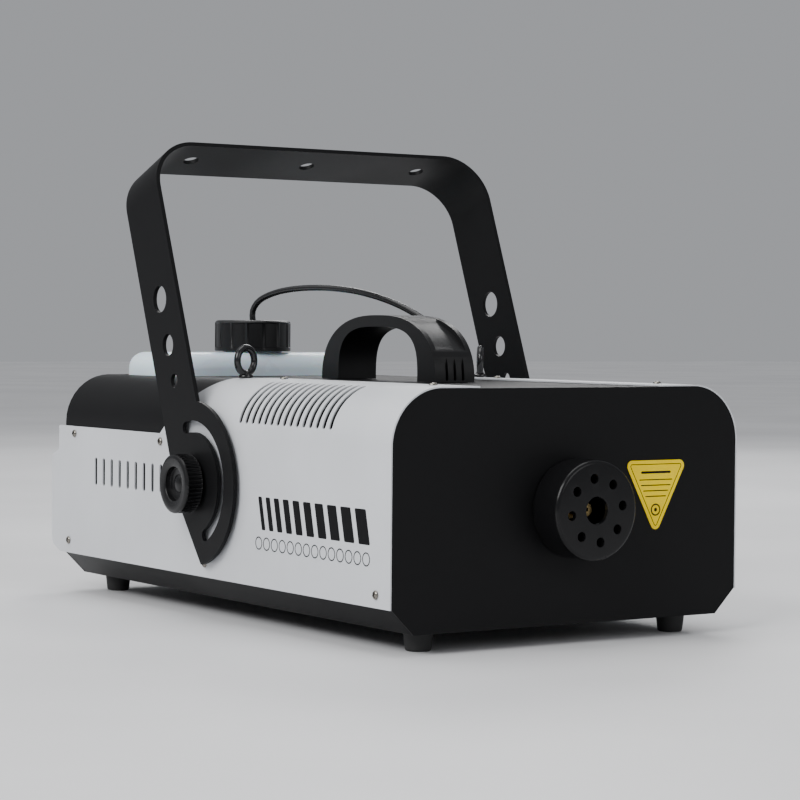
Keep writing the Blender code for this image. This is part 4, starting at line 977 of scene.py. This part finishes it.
def flank_mark():
    """A generic mark on each flank: slanted bars over a thin outlined row of puffs."""
    for side, name in ((-1, "left"), (1, "right")):
        place = facing_side(side * (HALF + 0.06 * MM), 0, 0)
        parts = []
        start = 24.0
        slant = 5.5
        for i in range(10):
            width = 13.4 - i * 0.95
            loop = [(start, 57), (start + width, 57), (start + width + slant, 80), (start + slant, 80)]
            loop = [(u * MM, v * MM) for u, v in rounded(loop, [1] * 4, 3)]
            parts.append(plate("bar", [loop], 0.06 * MM, place))
            start += width + 5.2
        for i in range(14):
            centre = ((28.5 + i * 10.6) * MM, 47.6 * MM)
            outer, inner = circle(centre, 4.6 * MM, 40), circle(centre, 3.8 * MM, 40)[::-1]
            parts.append(plate("puff", [outer, inner], 0.06 * MM, place))
        finish_mesh(joined(f"flank_mark_{name}", parts), INK, "chassis")


# ---------------------------------------------------------------- nodes that keep their CAD shape


def repaint():
    """Gives the CAD nodes that stay a finished material and softened edges."""
    paints = {
        BLACK: ("base_tray", "rear_panel", "tank_well"),
        DARK: (
            "thermostat",
            "pump_body",
            "power_inlet",
            "fuse_holder",
            "rocker_frame",
            "dmx_in_socket",
            "dmx_out_socket",
            "control_bezel",
        ),
        RUBBER: (
            "friction_washer_left",
            "friction_washer_right",
            "hose_grommet",
            "pump_bracket",
            "menu_button",
            "down_button",
            "up_button",
            "enter_button",
        ),
        STEEL: ("pivot_nut_left", "pivot_nut_right", "pump_plunger", "heat_shield", "heater_stand"),
        ALLOY: ("heater_block", "heat_sink"),
        BRASS: ("nozzle_tip", "suction_filter"),
        COPPER: ("pressure_pipe",),
        BOARD: ("control_board",),
        GLASS: ("display_window",),
        RED: ("power_rocker",),
    }
    soft_edges = {"base_tray": 0.5, "rear_panel": 0.4, "control_bezel": 0.5, "power_inlet": 0.5}
    soft_edges |= {"rocker_frame": 0.4, "dmx_in_socket": 0.4, "dmx_out_socket": 0.4}
    soft_edges |= {"power_rocker": 0.5, "heater_block": 0.6}
    for paint, names in paints.items():
        for name in names:
            node = frame["nodes"][name]
            node.data.materials.clear()
            node.data.materials.append(paint)
            node.data.shade_smooth()
            node.data.set_sharp_from_angle(angle=math.radians(32))
            if name in soft_edges:
                weld = node.modifiers.new("weld", "WELD")
                weld.merge_threshold = 0.000005
                soften(node, soft_edges[name] * MM, 2)


# ---------------------------------------------------------------- camera, light, floor


def camera():
    """The camera, front left of the body and about 1.84 m from its middle."""
    yaw, pitch, roll = math.radians(33.51), math.radians(-1.64), math.radians(0.47)
    forward = Vector((math.sin(yaw) * math.cos(pitch), math.cos(yaw) * math.cos(pitch), math.sin(pitch)))
    right = Vector((math.cos(yaw), -math.sin(yaw), 0))
    up = right.cross(forward)
    right, up = (
        right * math.cos(roll) + up * math.sin(roll),
        up * math.cos(roll) - right * math.sin(roll),
    )
    lens = bpy.data.cameras.new("camera")
    lens.lens = 110.35
    lens.sensor_width = 36
    lens.clip_start = 0.05
    view = bpy.data.objects.new("camera", lens)
    bpy.context.scene.collection.objects.link(view)
    turn = Matrix((right, up, -forward)).transposed()
    view.matrix_world = Matrix.Translation((-1.0013, -1.5374, 0.2099)) @ turn.to_4x4()
    bpy.context.scene.camera = view


def area_light(name, place, target, size, power, colour=(1, 1, 1)):
    light = bpy.data.lights.new(name, "AREA")
    light.shape = "RECTANGLE"
    light.size, light.size_y = size
    light.energy = power
    light.color = colour
    obj = bpy.data.objects.new(name, light)
    bpy.context.scene.collection.objects.link(obj)
    obj.location = place
    obj.rotation_euler = (Vector(target) - Vector(place)).to_track_quat("-Z", "Y").to_euler()


def studio():
    shape = bmesh.new()
    bmesh.ops.create_grid(shape, x_segments=1, y_segments=1, size=12)
    floor = from_bmesh("floor", shape)
    floor.data.materials.append(material("pale_floor", (0.72, 0.72, 0.73), 0.6, mottle=(2, 0.03)))
    world = bpy.data.worlds.new("studio")
    world.use_nodes = True
    world.node_tree.nodes["Background"].inputs["Color"].default_value = (0.86, 0.88, 0.92, 1)
    world.node_tree.nodes["Background"].inputs["Strength"].default_value = 0.42
    bpy.context.scene.world = world
    middle = (0, 0, 0.12)
    area_light("key", (-1.9, -0.6, 1.5), middle, (1.6, 1.2), 46)
    area_light("front", (0.6, -2.4, 1.1), middle, (1.4, 1.0), 10)
    area_light("rim", (1.5, 1.6, 1.6), middle, (1.4, 0.8), 26)
    area_light("top", (0, 0.2, 2.2), middle, (1.6, 1.6), 18)
    sky = bpy.data.lights.new("sky", "SUN")
    sky.energy = 0.7
    sky.angle = math.radians(60)
    high = bpy.data.objects.new("sky", sky)
    bpy.context.scene.collection.objects.link(high)
    high.rotation_euler = (math.radians(-20), math.radians(-30), 0)


camera()
hose()
side_cover("left", -1)
side_cover("right", 1)
hood()
front_panel()
screws()
feet()
eye_bolts()
nozzle()
handle()
tank()
tank_cap()
yoke()
knobs()
label()
flank_mark()
repaint()
studio()
